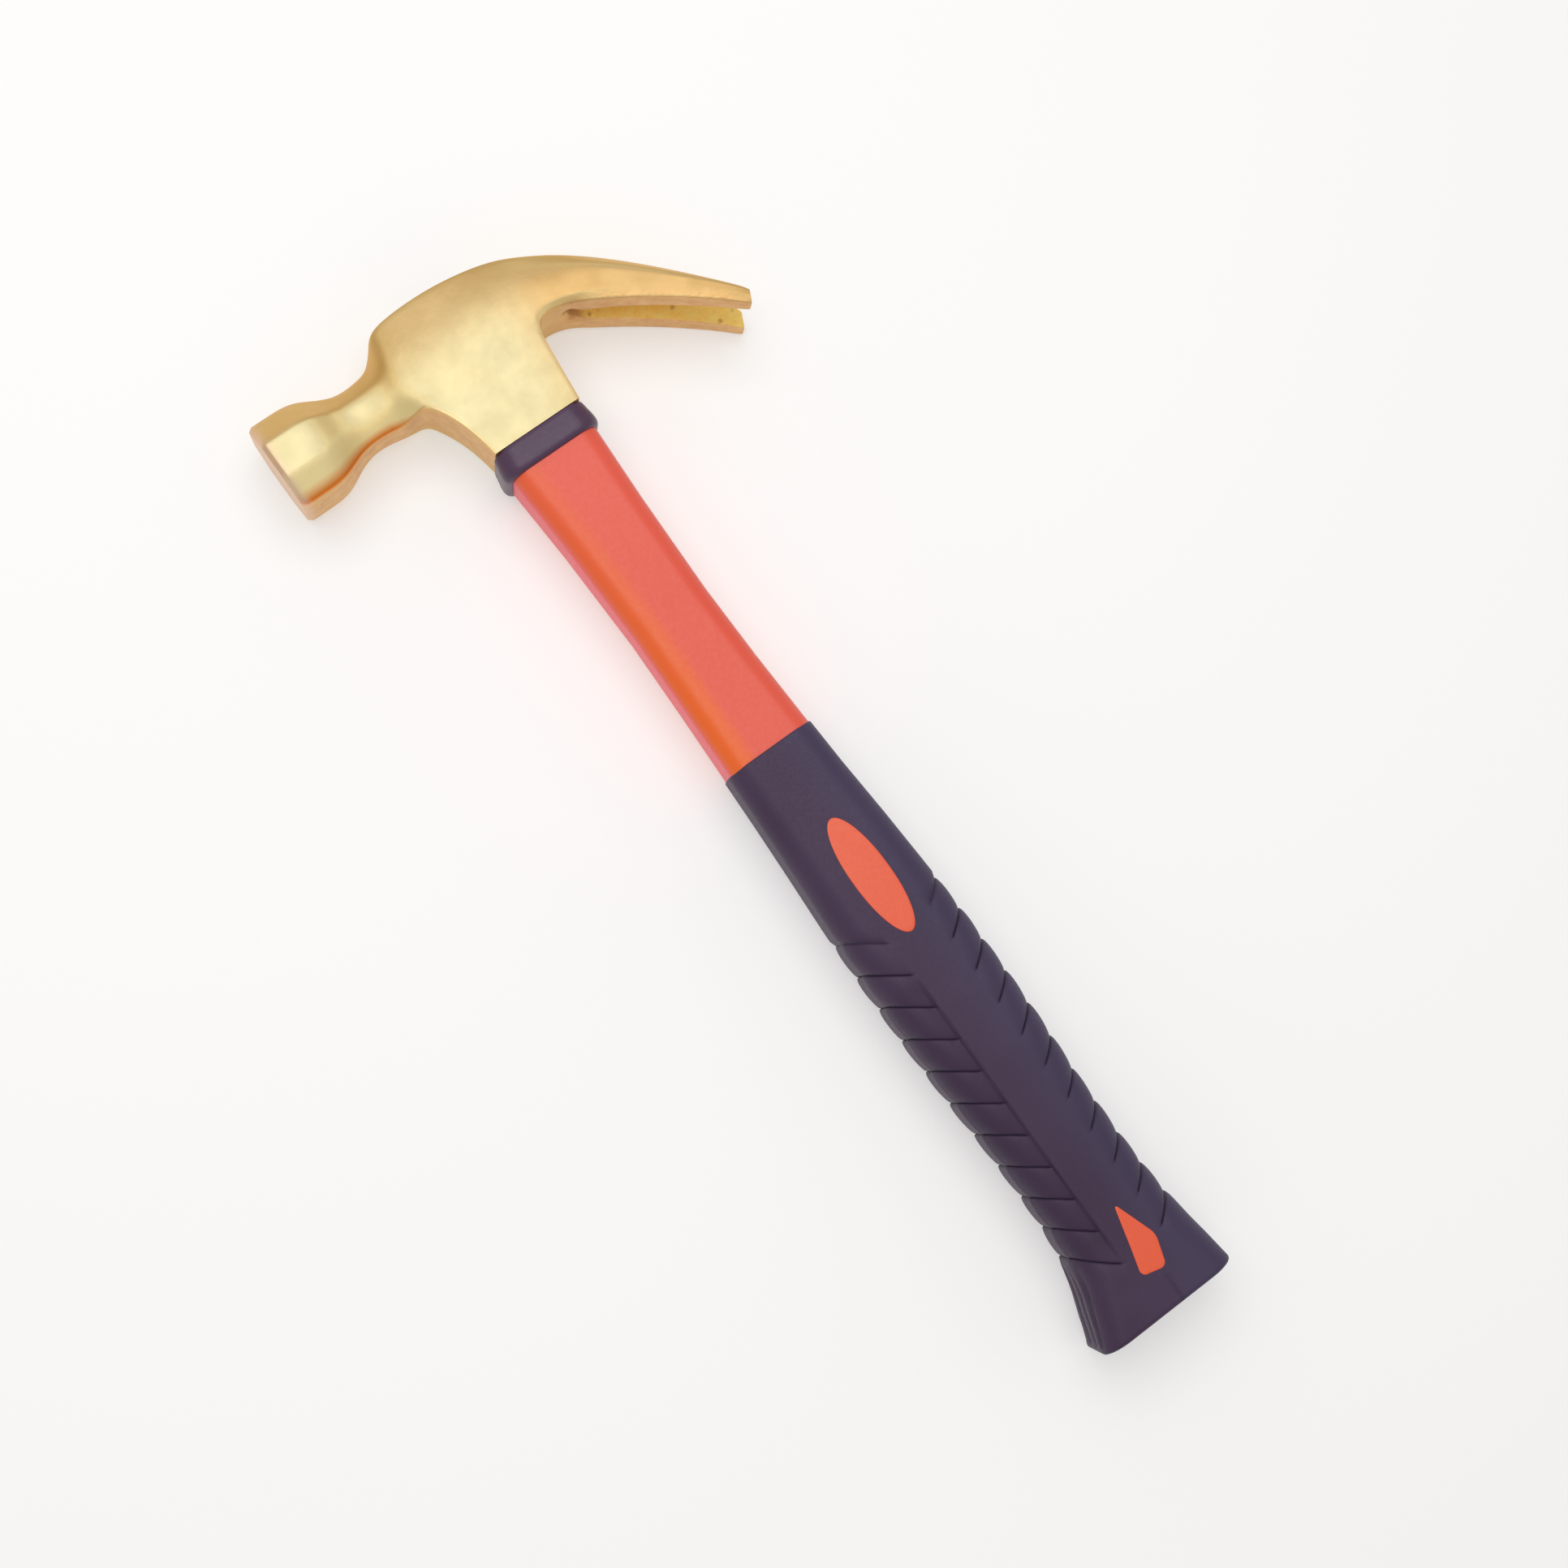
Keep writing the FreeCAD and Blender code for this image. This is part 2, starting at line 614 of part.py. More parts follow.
def makeGrip(blank, tail, columns):
    core = makeGripBlank("ribCore", size["ribDepth"])
    plates = combine("Part::MultiFuse", "ribPlates", makeRibs("frontRibs", -1),
                     [makeRibs("rearRibs", 1)])
    grooves = combine("Part::Cut", "ribGrooves", plates, [core])
    cutters = combine("Part::MultiFuse", "gripHoles", tail, [column for side, column in columns])
    hollow = combine("Part::Cut", "gripHollow", blank, [cutters])
    return combine("Part::Cut", "grip", hollow, [grooves])


def checkAndWrite():
    doc.recompute()
    for item in doc.Objects:
        if "Invalid" in item.State or "Error" in item.State:
            raise RuntimeError(f"{item.Label} did not build: {item.State}")
    os.makedirs("parts", exist_ok=True)
    for node in nodes:
        shape = node.Shape
        if shape.isNull() or not shape.isValid() or not shape.Solids:
            raise RuntimeError(f"{node.Label} is not a valid solid")
        print(f"{node.Label}: {len(shape.Solids)} solid, {shape.Volume:.0f} mm3")
        shape.exportStep(f"parts/{node.Label}.step")


doc = FreeCAD.newDocument("ClawHammer")
size = makeSheet()
crownHeight = size["crownHeight"]
pollAxis = size["pollAxis"]
restHeight = Length(
    max(size["buttHalf"].value, size["pollFlats"].value / 2, size["swellHalf"].value),
    "max(Sizes.buttHalf; Sizes.pollFlats / 2; Sizes.swellHalf)")
shift = ((size["faceReach"] - size["clawReach"]) * 0.5,
         (size["handleLength"] - crownHeight) * 0.5,
         restHeight)

coreRod = makeRod()
eye = makeEye("eyeHole", asLength(-1), crownHeight + 5)
head = makeHead(eye)
resinBlank = makeEye("resinBlank", asLength(0), size["plugSeat"])
resin = combine("Part::Cut", "eye_epoxy", resinBlank, [coreRod])
plug = makeEye("eye_plug", size["plugSeat"], size["plugTop"])
collar, neck = makeCollar()
jacket, tail = makeJacket(neck, coreRod)
nodes = [head, coreRod, resin, plug, collar, jacket]
gripBlank = makeGripBlank("gripBlank", asLength(0))
ovals = makeOvalColumns()
kites = makeKiteColumns()
makeInserts("oval", ovals, gripBlank, tail)
makeInserts("kite", kites, gripBlank, tail)
nodes.append(makeGrip(gripBlank, tail, ovals + kites))
checkAndWrite()
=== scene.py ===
from math import atan2, cos, degrees, hypot, pi, radians, sin, tan

import bmesh
import bpy
from mathutils import Matrix, Vector


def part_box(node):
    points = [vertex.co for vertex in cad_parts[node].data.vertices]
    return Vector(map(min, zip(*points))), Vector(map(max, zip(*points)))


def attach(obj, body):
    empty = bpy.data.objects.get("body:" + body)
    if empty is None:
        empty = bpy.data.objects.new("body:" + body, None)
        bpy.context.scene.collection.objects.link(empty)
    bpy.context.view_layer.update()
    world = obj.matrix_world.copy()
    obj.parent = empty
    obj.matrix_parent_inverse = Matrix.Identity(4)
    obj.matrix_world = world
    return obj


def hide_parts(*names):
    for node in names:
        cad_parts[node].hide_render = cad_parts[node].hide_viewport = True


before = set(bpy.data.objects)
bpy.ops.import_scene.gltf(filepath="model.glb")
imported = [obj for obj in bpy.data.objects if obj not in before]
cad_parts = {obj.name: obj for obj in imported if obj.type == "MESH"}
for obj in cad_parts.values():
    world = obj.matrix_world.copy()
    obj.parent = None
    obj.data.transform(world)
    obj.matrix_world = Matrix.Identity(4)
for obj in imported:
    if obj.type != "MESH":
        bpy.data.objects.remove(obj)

# what a fresh Blender file holds besides the frame
for leftover in ("Cube", "Light", "Camera"):
    if leftover in bpy.data.objects:
        bpy.data.objects.remove(bpy.data.objects[leftover])

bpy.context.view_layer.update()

# Everything below is modelled in millimetres from the seam between head and collar:
# x runs to the claw tips, y up the handle to the head, z out of the side that faces up.
mm = 0.001
rodLow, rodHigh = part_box("core_rod")
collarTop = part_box("collar")[1].y
seam = Vector(((rodLow.x + rodHigh.x) / 2, collarTop, (rodLow.z + rodHigh.z) / 2))
toFrame = Matrix.Translation(seam) @ Matrix.Scale(mm, 4)
buttEnd = (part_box("grip")[0].y - seam.y) / mm
print("frame read, butt at", round(buttEnd, 1), "mm")


def colour(code):
    # a hex code as linear light
    parts = [int(code[i:i + 2], 16) / 255 for i in (0, 2, 4)]
    return tuple(p / 12.92 if p <= 0.04045 else ((p + 0.055) / 1.055) ** 2.4 for p in parts) + (1,)


def lerp(a, b, t):
    return a + (b - a) * t


def easeStep(t):
    t = min(1, max(0, t))
    return t * t * (3 - 2 * t)


def easeUp(value, start, length):
    # 0 until start, 1 once length further on
    return easeStep((value - start) / length)


def easeDown(value, end, length):
    # 1 until length before the end, 0 from the end on
    return easeStep((end - value) / length)


def between(rows, x):
    # value at x in a list of (x, value...) rows, on straight lines from row to row
    if x <= rows[0][0]:
        return rows[0][1:]
    for first, second in zip(rows, rows[1:]):
        if x <= second[0]:
            t = (x - first[0]) / (second[0] - first[0])
            return tuple(lerp(a, b, t) for a, b in zip(first[1:], second[1:]))
    return rows[-1][1:]


def put(mat, kind, inputs=None, **settings):
    node = mat.node_tree.nodes.new("ShaderNode" + kind)
    for key, value in settings.items():
        setattr(node, key, value)
    for key, value in (inputs or {}).items():
        wire(mat, value, node.inputs[key])
    return node


def wire(mat, value, socket):
    if isinstance(value, bpy.types.NodeSocket):
        mat.node_tree.links.new(value, socket)
    else:
        socket.default_value = value


def mixColour(mat, amount, first, second):
    # sockets 6 and 7 are the colours of a Mix node, 2 is the colour it gives
    node = put(mat, "Mix", data_type="RGBA")
    wire(mat, amount, node.inputs[0])
    wire(mat, first, node.inputs[6])
    wire(mat, second, node.inputs[7])
    return node.outputs[2]


def mapRange(mat, value, low, high, toLow, toHigh):
    node = put(mat, "MapRange", {"Value": value, "From Min": low, "From Max": high,
                                 "To Min": toLow, "To Max": toHigh}, clamp=True)
    return node.outputs["Result"]


def noise(mat, where, scale, detail=4, roughness=0.55):
    return put(mat, "TexNoise", {"Vector": where, "Scale": scale, "Detail": detail,
                                 "Roughness": roughness}).outputs["Fac"]


def attribute(mat, name):
    return put(mat, "Attribute", attribute_name=name).outputs["Fac"]


def objectPlace(mat, stretch=(1, 1, 1)):
    place = put(mat, "TexCoord").outputs["Object"]
    return put(mat, "Mapping", {"Vector": place, "Scale": stretch}).outputs["Vector"]


def bump(mat, height, strength, distance, under=None):
    node = put(mat, "Bump", {"Height": height, "Strength": strength, "Distance": distance})
    if under:
        wire(mat, under, node.inputs["Normal"])
    return node.outputs["Normal"]


def newMaterial(name, **fixed):
    mat = bpy.data.materials.new(name)
    mat.use_nodes = True
    shader = mat.node_tree.nodes["Principled BSDF"]
    for key, value in fixed.items():
        shader.inputs[key].default_value = value
    return mat, shader


metalSet = {
    # the main tone and the one it clouds towards
    "gold": (colour("E4BC76"), colour("DAAC62")),
    # a painted highlight for polished faces turned to the sides
    "sheenPale": (colour("FAE6AA"), colour("F8DE9C")),
    # darker copies of the gold and the pale tone for faces that lie level and catch more light: a
    # painted shade
    "levelShadedGold": (colour("CAA266"), colour("C09658")),
    "levelShadedPale": (colour("CFC296"), colour("CFC090")),
    "bronze": (colour("E6BC7E"), colour("D6A468")),
    "castYellow": (colour("FFCB5A"), colour("FFE07C")),
    # the orange is a painted reflection along the neck's lower ridge
    "reflectionOrange": colour("E6842A"), "facePink": colour("E9C6AC"), "pit": colour("A8742C"),
    "noRelief": (0.5, 0.5, 0.5, 1),
    "metallic": 0.8, "roughness": (0.44, 0.52), "castRoughness": (0.42, 0.62),
    # sizes of the patterns, finer as the number grows
    "cloud": 42, "speck": 260, "smear": 130, "skin": 320, "scratch": 900, "lumps": 420, "pits": 150,
}


def makeHeadMetal():
    mat, shader = newMaterial("goldenAlloy", Metallic=metalSet["metallic"])
    where = objectPlace(mat)
    cloud = mapRange(mat, noise(mat, where, metalSet["cloud"], 3), 0.35, 0.68, 0, 1)
    # broad faces are polished and painted pale, a painted highlight; those that lie level catch more
    # light, so they are painted quieter, a painted shade
    polishSheen = attribute(mat, "polishSheen")
    tone = mixColour(mat, polishSheen, mixColour(mat, cloud, *metalSet["gold"]),
                     mixColour(mat, cloud, *metalSet["sheenPale"]))
    level = mixColour(mat, polishSheen, mixColour(mat, cloud, *metalSet["levelShadedGold"]),
                      mixColour(mat, cloud, *metalSet["levelShadedPale"]))
    tone = mixColour(mat, attribute(mat, "flatness"), tone, level)
    # undersides as cast and in painted shade, a painted orange reflection along the neck's lower ridge,
    # the striking face a little pink
    castAndShadeMask = attribute(mat, "castAndShade")
    speck = mapRange(mat, noise(mat, where, metalSet["speck"], 5, 0.7), 0.38, 0.66, 0, 1)
    tone = mixColour(mat, castAndShadeMask, tone, mixColour(mat, speck, *metalSet["bronze"]))
    ridgeReflection = mapRange(mat, attribute(mat, "ridge"), 0.6, 0.95, 0, 1)
    tone = mixColour(mat, ridgeReflection, tone, metalSet["reflectionOrange"])
    face = mapRange(mat, attribute(mat, "faceTone"), 0.5, 1.0, 0, 0.8)
    tone = mixColour(mat, face, tone, metalSet["facePink"])
    wire(mat, tone, shader.inputs["Base Color"])
    smear = noise(mat, objectPlace(mat, (1, 1, 3)), metalSet["smear"], 5)
    wire(mat, mapRange(mat, smear, 0.3, 0.7, *metalSet["roughness"]), shader.inputs["Roughness"])
    # relief: the skin of the casting, its speckle, then fine scratches
    normal = bump(mat, noise(mat, where, metalSet["skin"], 3), 0.10, 0.0006)
    normal = bump(mat, mixColour(mat, castAndShadeMask, metalSet["noRelief"], speck), 0.25, 0.0005, normal)
    scratch = noise(mat, objectPlace(mat, (1, 6, 1)), metalSet["scratch"], 2)
    wire(mat, bump(mat, scratch, 0.05, 0.0002, normal), shader.inputs["Normal"])
    return mat


def makeCastMetal():
    # the unground wall of the nail slot: lumpy, with a few dark pits
    mat, shader = newMaterial("roughCastAlloy", Metallic=0.0)
    where = objectPlace(mat)
    lumps = noise(mat, where, metalSet["lumps"], 6, 0.7)
    pits = put(mat, "TexVoronoi", {"Vector": where, "Scale": metalSet["pits"]}).outputs["Distance"]
    tone = mixColour(mat, mapRange(mat, lumps, 0.35, 0.62, 0, 1), *metalSet["castYellow"])
    tone = mixColour(mat, mapRange(mat, pits, 0.05, 0.13, 0.6, 0), tone, metalSet["pit"])
    # painted shade: the wall turns to the head's darker bronze towards the root of the slot
    root = mapRange(mat, attribute(mat, "slotRoot"), 0.2, 0.6, 0, 1)
    tone = mixColour(mat, root, tone, metalSet["bronze"][1])
    wire(mat, tone, shader.inputs["Base Color"])
    wire(mat, mapRange(mat, lumps, 0.3, 0.7, *metalSet["castRoughness"]), shader.inputs["Roughness"])
    wire(mat, bump(mat, lumps, 0.6, 0.0012), shader.inputs["Normal"])
    return mat


mouldedSet = {
    # main colour, the one it changes to, grain, roughness from and to, specular
    "coralPlastic": (colour("EF5D47"), colour("ED5A42"), 1500, (0.36, 0.5), 0.5),
    "plumRubber": (colour("4A3751"), colour("412F47"), 2200, (0.45, 0.62), 0.28),
    "collarRubber": (colour("543C54"), colour("4B344C"), 1800, (0.28, 0.42), 0.35),
    "insertPlastic": (colour("F4613A"), colour("F35E38"), 1500, (0.34, 0.48), 0.5),
    "plugPlastic": (colour("4A3F50"), colour("3E3444"), 1500, (0.4, 0.55), 0.5),
    "glassFibre": (colour("E6DDBE"), colour("D8CCA2"), 900, (0.4, 0.6), 0.5),
    "castResin": (colour("9A7A48"), colour("83653A"), 700, (0.15, 0.3), 0.5),
}


def makeMoulded(name, tints=()):
    # a slow change of colour and fine grain; tints are (attribute, colour) laid over it in turn
    main, shade, grain, roughness, specular = mouldedSet[name]
    mat, shader = newMaterial(name)
    shader.inputs["Specular IOR Level"].default_value = specular
    where = objectPlace(mat)
    tone = mixColour(mat, mapRange(mat, noise(mat, where, 26, 3), 0.32, 0.7, 0, 1), main, shade)
    for mark, tint in tints:
        tone = mixColour(mat, attribute(mat, mark), tone, tint)
    wire(mat, tone, shader.inputs["Base Color"])
    speck = noise(mat, where, grain * 0.5, 6, 0.7)
    wire(mat, mapRange(mat, speck, 0.3, 0.7, *roughness), shader.inputs["Roughness"])
    wire(mat, bump(mat, noise(mat, where, grain, 3), 0.12, 0.0004), shader.inputs["Normal"])
    return mat


headMetal = makeHeadMetal()
castMetal = makeCastMetal()
# a pink front, and a painted orange highlight along the front corners
jacketPlastic = makeMoulded("coralPlastic", [("frontTone", colour("FA5A64")),
                                             ("cornerHighlight", colour("F4681E"))])
# a bluer rear, and painted shade in the grooves
gripRubber = makeMoulded("plumRubber", [("rearTone", colour("48415E")),
                                        ("grooveShade", colour("30233A"))])
collarRubber = makeMoulded("collarRubber")
insertPlastic = makeMoulded("insertPlastic")
plugPlastic = makeMoulded("plugPlastic")
glassFibre = makeMoulded("glassFibre")
castResin = makeMoulded("castResin")
print("finishes ready")


def loopEdges(bm, ring):
    return [bm.edges.get(pair) for pair in zip(ring, ring[1:] + ring[:1])]


def extrudeRow(bm, row, places, closed=False):
    # pulls the row's edges out once and sets the new verts on places
    edges = loopEdges(bm, row) if closed else [bm.edges.get(pair) for pair in zip(row, row[1:])]
    made = bmesh.ops.extrude_edge_only(bm, edges=edges)["geom"]
    fresh = {part for part in made if isinstance(part, bmesh.types.BMVert)}
    newRow = []
    for vert, place in zip(row, places):
        twin = next(e.other_vert(vert) for e in vert.link_edges if e.other_vert(vert) in fresh)
        twin.co = place
        newRow.append(twin)
    return newRow


def addRing(bm, ring, places):
    # the first ring is made new, later ones are pulled out of the one before
    if ring:
        return extrudeRow(bm, ring, places, closed=True)
    fresh = bmesh.ops.create_circle(bm, segments=len(places), radius=1)["verts"]
    for vert, place in zip(fresh, places):
        vert.co = place
    return fresh


def addTube(bm, sections):
    # rings joined up and closed at both ends
    rings = [None]
    for places in sections:
        rings.append(addRing(bm, rings[-1], places))
    bm.faces.new(rings[1])
    bm.faces.new(rings[-1])
    return rings[1:]


def stadiumPlaces(y, halfLong, halfWide, count):
    # an oval with round ends, long in x
    straight = halfLong - halfWide
    places = []
    for step in range(count):
        angle = 2 * pi * (step + 0.5) / count
        shift = straight if cos(angle) > 0 else -straight
        places.append(Vector((shift + halfWide * cos(angle), y, halfWide * sin(angle))))
    return places


def ringPlaces(y, front, rear, half, corner, counts):
    # a rounded rectangle round the handle; counts are verts per corner, broad face and narrow side
    perCorner, perFace, perSide = counts
    corner = min(corner, half - 0.5)
    places = []
    centres = [(rear - corner, half - corner, 0), (-front + corner, half - corner, 90),
               (-front + corner, -half + corner, 180), (rear - corner, -half + corner, 270)]
    for index, (cx, cz, start) in enumerate(centres):
        for step in range(perCorner):
            angle = radians(start + 90 * step / perCorner)
            places.append(Vector((cx + corner * cos(angle), y, cz + corner * sin(angle))))
        turn = radians(start + 90)
        here = Vector((cx + corner * cos(turn), y, cz + corner * sin(turn)))
        nx, nz, _ = centres[(index + 1) % 4]
        there = Vector((nx + corner * cos(turn), y, nz + corner * sin(turn)))
        count = perFace if index % 2 == 0 else perSide
        for step in range(count):
            places.append(here.lerp(there, step / count))
    return places


def finishMesh(bm, name, materials, node=None, sharpAngle=35):
    bmesh.ops.recalc_face_normals(bm, faces=bm.faces)
    bmesh.ops.transform(bm, matrix=toFrame, verts=bm.verts)
    mesh = bpy.data.meshes.new(name)
    bm.to_mesh(mesh)
    bm.free()
    for mat in materials:
        mesh.materials.append(mat)
    piece = bpy.data.objects.new(name, mesh)
    bpy.context.scene.collection.objects.link(piece)
    mesh.shade_smooth()
    mesh.set_sharp_from_angle(angle=radians(sharpAngle))
    if node:
        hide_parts(node)
        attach(piece, "root")
    return piece


def applyModifiers(piece, sharpAngle):
    shown = piece.evaluated_get(bpy.context.evaluated_depsgraph_get())
    mesh = bpy.data.meshes.new_from_object(shown)
    piece.modifiers.clear()
    piece.data = mesh
    mesh.shade_smooth()
    mesh.set_sharp_from_angle(angle=radians(sharpAngle))


headSet = {
    "axisHeight": 30.0,      # striking axis above the seam
    "faceX": -62.8, "rim": 0.9,
    # the octagonal poll and neck: x, half across the flats
    "neck": [(-61.5, 13.2), (-56.5, 13.2), (-51.5, 13.15), (-47.5, 12.1), (-43.5, 9.9), (-39.5, 8.55),
             (-35.5, 8.3), (-31.5, 8.75), (-28.2, 9.4)],
    # cheeks: top x, y, bottom x, y, ridge half, side half, drop to side, rise to side, lower ridge half
    "cheeks": [(-25.3, 42.3, -24.9, 21.0, 6.2, 10.9, 6.2, 5.0, 8.8),
               (-22.4, 45.7, -21.6, 21.2, 8.8, 12.0, 7.0, 3.4, 11.2),
               (-17.4, 46.65, -15.4, 21.2, 10.0, 12.4, 8.0, 3.2, 12.0),
               (-8.0, 47.1, -7.0, 21.0, 10.2, 12.5, 8.3, 3.2, 12.0),
               (1.0, 46.6, 2.0, 21.0, 10.2, 12.5, 8.2, 3.2, 12.0),
               (9.5, 45.3, 9.5, 21.0, 9.9, 12.5, 7.6, 3.2, 12.0),
               (15.0, 43.9, 14.9, 20.2, 9.6, 12.5, 6.8, 3.4, 11.9),
               (18.7, 42.5, 16.2, 23.0, 9.4, 12.5, 5.8, 2.0, 11.8),
               (23.2, 40.2, 19.7, 24.6, 9.5, 12.5, 4.6, 1.2, 11.5),
               (30.0, 36.2, 26.6, 23.5, 9.6, 12.7, 3.4, 0.7, 11.2)],
    "sideLean": 0.025,       # the cheeks lean in towards the seam, per mm
    "crownEase": 0.9,        # and ease off below the crown
    "crownHalf": 2.4,        # first spot out from the middle, before the slot
    # the cheek sections that the skirt hangs from, and how far out its three lines run
    "skirtFrom": 1, "skirtTo": 6, "skirtShares": (1, 0.35, 0),
    # skirt levels: y, front x, rear x, half
    "skirt": [(17.0, -19.0, 14.5, 11.85), (11.5, -16.5, 13.9, 11.65), (5.5, -15.0, 13.3, 11.45),
              (1.0, -14.3, 12.9, 11.3), (0.0, -14.2, 12.8, 11.2)],
    # slot half at its root and tip, on the outside of the curve and on the inside
    "slotOuter": (1.4, 7.4), "slotInner": (2.0, 8.2),
    # prongs, same reading as the cheeks, and how far the underside bellies out past its outer edge
    "prongs": [(35.5, 32.0, 31.6, 21.2, 9.9, 13.1, 2.8, 0.7, 12.2, 2.1),
               (42.0, 26.3, 37.6, 18.1, 10.4, 13.5, 2.2, 0.9, 12.8, 2.3),
               (50.0, 18.3, 46.2, 12.6, 10.9, 13.9, 1.6, 0.9, 13.3, 2.4),
               (57.5, 10.1, 54.6, 6.4, 11.4, 14.2, 1.2, 0.8, 13.6, 2.4),
               (63.2, 3.5, 61.1, 0.9, 11.8, 14.4, 0.8, 0.6, 13.8, 2.2),
               (65.9, 0.2, 64.4, -2.5, 12.0, 14.4, 0.7, 0.5, 13.8, 2.0),
               (66.9, -1.4, 65.7, -4.0, 11.8, 14.3, 0.7, 0.5, 13.6, 1.7)],
    "rootBelly": 1.3,
    # the underside facet of the neck is wider than the others and crowned, the side one shorter
    "lowFacet": 1.7, "lowRise": 0.02, "sideShare": 0.85,
    # creases along the head, by spot of the section
    "ridgeCrease": 0.85, "pollCreases": ((2, 1), (3, 1), (5, 0.55)), "rimCreases": (0.9, 0.75),
    "crownCrease": 0.5, "jawCrease": 0.7, "clawCreases": ((5, 0.45), (6, 0.55)),
    "prongCreases": ((0, 0.8), (1, 0.45), (4, 0.65), (5, 0.55), (6, 0.8)), "tipCrease": 0.85,
    "skirtCreases": (0.75, 0.6), "seamCrease": 0.9,
    "faceTones": (1, 0.8), "edgeTone": 0.7, "ridgeLoss": 0.5,
    "levels": 3, "sharpAngle": 32,
    # eye, with straight walls in the skirt and wider to the crown: y, half length, half width
    "eye": [(-4.0, 9.1, 7.0), (8.0, 9.1, 7.0), (60.0, 10.855, 8.755)], "eyeCount": 48,
    # the painted sheen on the polished faces, each as start and length of a ramp: lean of the surface,
    # height and x on the cheeks, surfaces that look up, x along the claws
    "levelRamp": (0.925, 0.07), "heightRamp": (24, 20), "neckRamp": (-34, 10),
    "upRamp": (-0.25, 0.3), "clawRamp": (2, 24),
    "sheenStart": (0.45, 0.82), "sheenLength": (0.35, 0.16),
    "highShare": 0.3, "clawShare": (0.6, 0.15),
}
# places in the list of sections: the first of the cheeks, and where the skirt hangs
neckEnd = len(headSet["neck"]) + 1
skirtFirst = neckEnd + headSet["skirtFrom"]
skirtLast = neckEnd + headSet["skirtTo"]


def sectionPlaces(row, outer, inner, lean=0.0, ease=0.0, belly=0.0):
    # nine places round half a section, from the middle of the top to the middle of the underside
    topX, topY, botX, botY, ridge, side, drop, rise, lower = row[:9]
    top, bottom = Vector((topX, topY, 0)), Vector((botX, botY, 0))
    down = (bottom - top).normalized()
    out = Vector((0, 0, 1))
    sideTop, sideLow = top + down * drop, bottom - down * rise
    sideMid = (sideTop + sideLow) / 2
    lowSide = side - lean * (sideMid.y - sideLow.y)
    under = bottom + down * belly
    return [top, top + out * outer, top + out * ridge,
            sideTop + out * (side - ease), sideMid + out * side, sideLow + out * lowSide,
            under + out * lower, under + out * inner, under]


def octagonPlaces(x, half):
    small = half * tan(radians(22.5))
    axis = headSet["axisHeight"]
    low = small * headSet["lowFacet"]
    rise = half - small * headSet["sideShare"]
    row = (x, axis + half, x, axis - half, small, half, half - small, rise, low)
    places = sectionPlaces(row, small * 0.5, small)
    places[6].y += headSet["lowRise"] * half
    return places


def headCage(bm):
    # half of the head, from the striking face to the root of the nail slot
    rimHalf = headSet["neck"][0][1] - headSet["rim"]
    rows = [[bm.verts.new(place) for place in octagonPlaces(headSet["faceX"], rimHalf)]]
    for first, second in zip(rows[0], rows[0][1:]):
        bm.edges.new((first, second))
    for x, half in headSet["neck"]:
        rows.append(extrudeRow(bm, rows[-1], octagonPlaces(x, half)))
    for index, row in enumerate(headSet["cheeks"]):
        near = index / (len(headSet["cheeks"]) - 1)
        outer = lerp(headSet["crownHalf"], headSet["slotOuter"][0], near)
        inner = lerp(headSet["crownHalf"], headSet["slotInner"][0], near)
        belly = headSet["rootBelly"] * max(0, near * 5 - 4)    # only the last sections
        places = sectionPlaces(row, outer, inner, headSet["sideLean"], headSet["crownEase"], belly)
        rows.append(extrudeRow(bm, rows[-1], places))

    # striking face
    t0, t1, t2, s1, m, s2, b2, b1, b0 = rows[0]
    for corners in ((t0, t1, b1, b0), (t1, t2, b2, b1), (t2, s1, m, s2, b2)):
        bm.faces.new(corners)

    # slot root, then the prong out to its tip
    t0, t1, t2, s1, m, s2, b2, b1, b0 = rows[-1]
    bm.faces.new((t0, t1, b1, b0))
    prongRows = [[t1, t2, s1, m, s2, b2, b1]]
    for index, row in enumerate(headSet["prongs"]):
        near = (index + 1) / len(headSet["prongs"])
        outer = lerp(*headSet["slotOuter"], near ** 2)
        inner = lerp(*headSet["slotInner"], near ** 0.6)
        places = sectionPlaces(row, outer, inner, belly=row[9])[1:-1]
        prongRows.append(extrudeRow(bm, prongRows[-1], places, closed=True))
    t1, t2, s1, m, s2, b2, b1 = prongRows[-1]
    bm.faces.new((t1, t2, b2, b1))
    bm.faces.new((t2, s1, m, s2, b2))
    return rows, prongRows


def creaseHead(bm, layer, rows, prongRows):
    def crease(first, second, value):
        edge = bm.edges.get((first, second))
        if edge:
            edge[layer] = value

    # ridges of the poll, strong at the face and gone at the cheek
    ridge = headSet["ridgeCrease"]
    for index, (first, second) in enumerate(zip(rows[:neckEnd], rows[1:neckEnd + 1])):
        fade = 1 - easeUp(index, 2, neckEnd - 4)
        for spot, share in headSet["pollCreases"]:
            crease(first[spot], second[spot], ridge * fade * share)
        crease(first[6], second[6], ridge)
    for row, value in zip(rows, headSet["rimCreases"]):
        for first, second in zip(row, row[1:]):
            crease(first, second, value)
    for index in range(neckEnd, len(rows) - 1):
        first, second = rows[index], rows[index + 1]
        crease(first[2], second[2], headSet["crownCrease"])
        if index < skirtFirst:
            crease(first[6], second[6], headSet["jawCrease"])
        if index >= skirtLast:
            for spot, value in headSet["clawCreases"]:
                crease(first[spot], second[spot], value)
    for first, second in zip(prongRows, prongRows[1:]):
        for spot, value in headSet["prongCreases"]:
            crease(first[spot], second[spot], value)
    tip = prongRows[-1]
    for first, second in zip(tip, tip[1:] + tip[:1]):
        crease(first, second, headSet["tipCrease"])


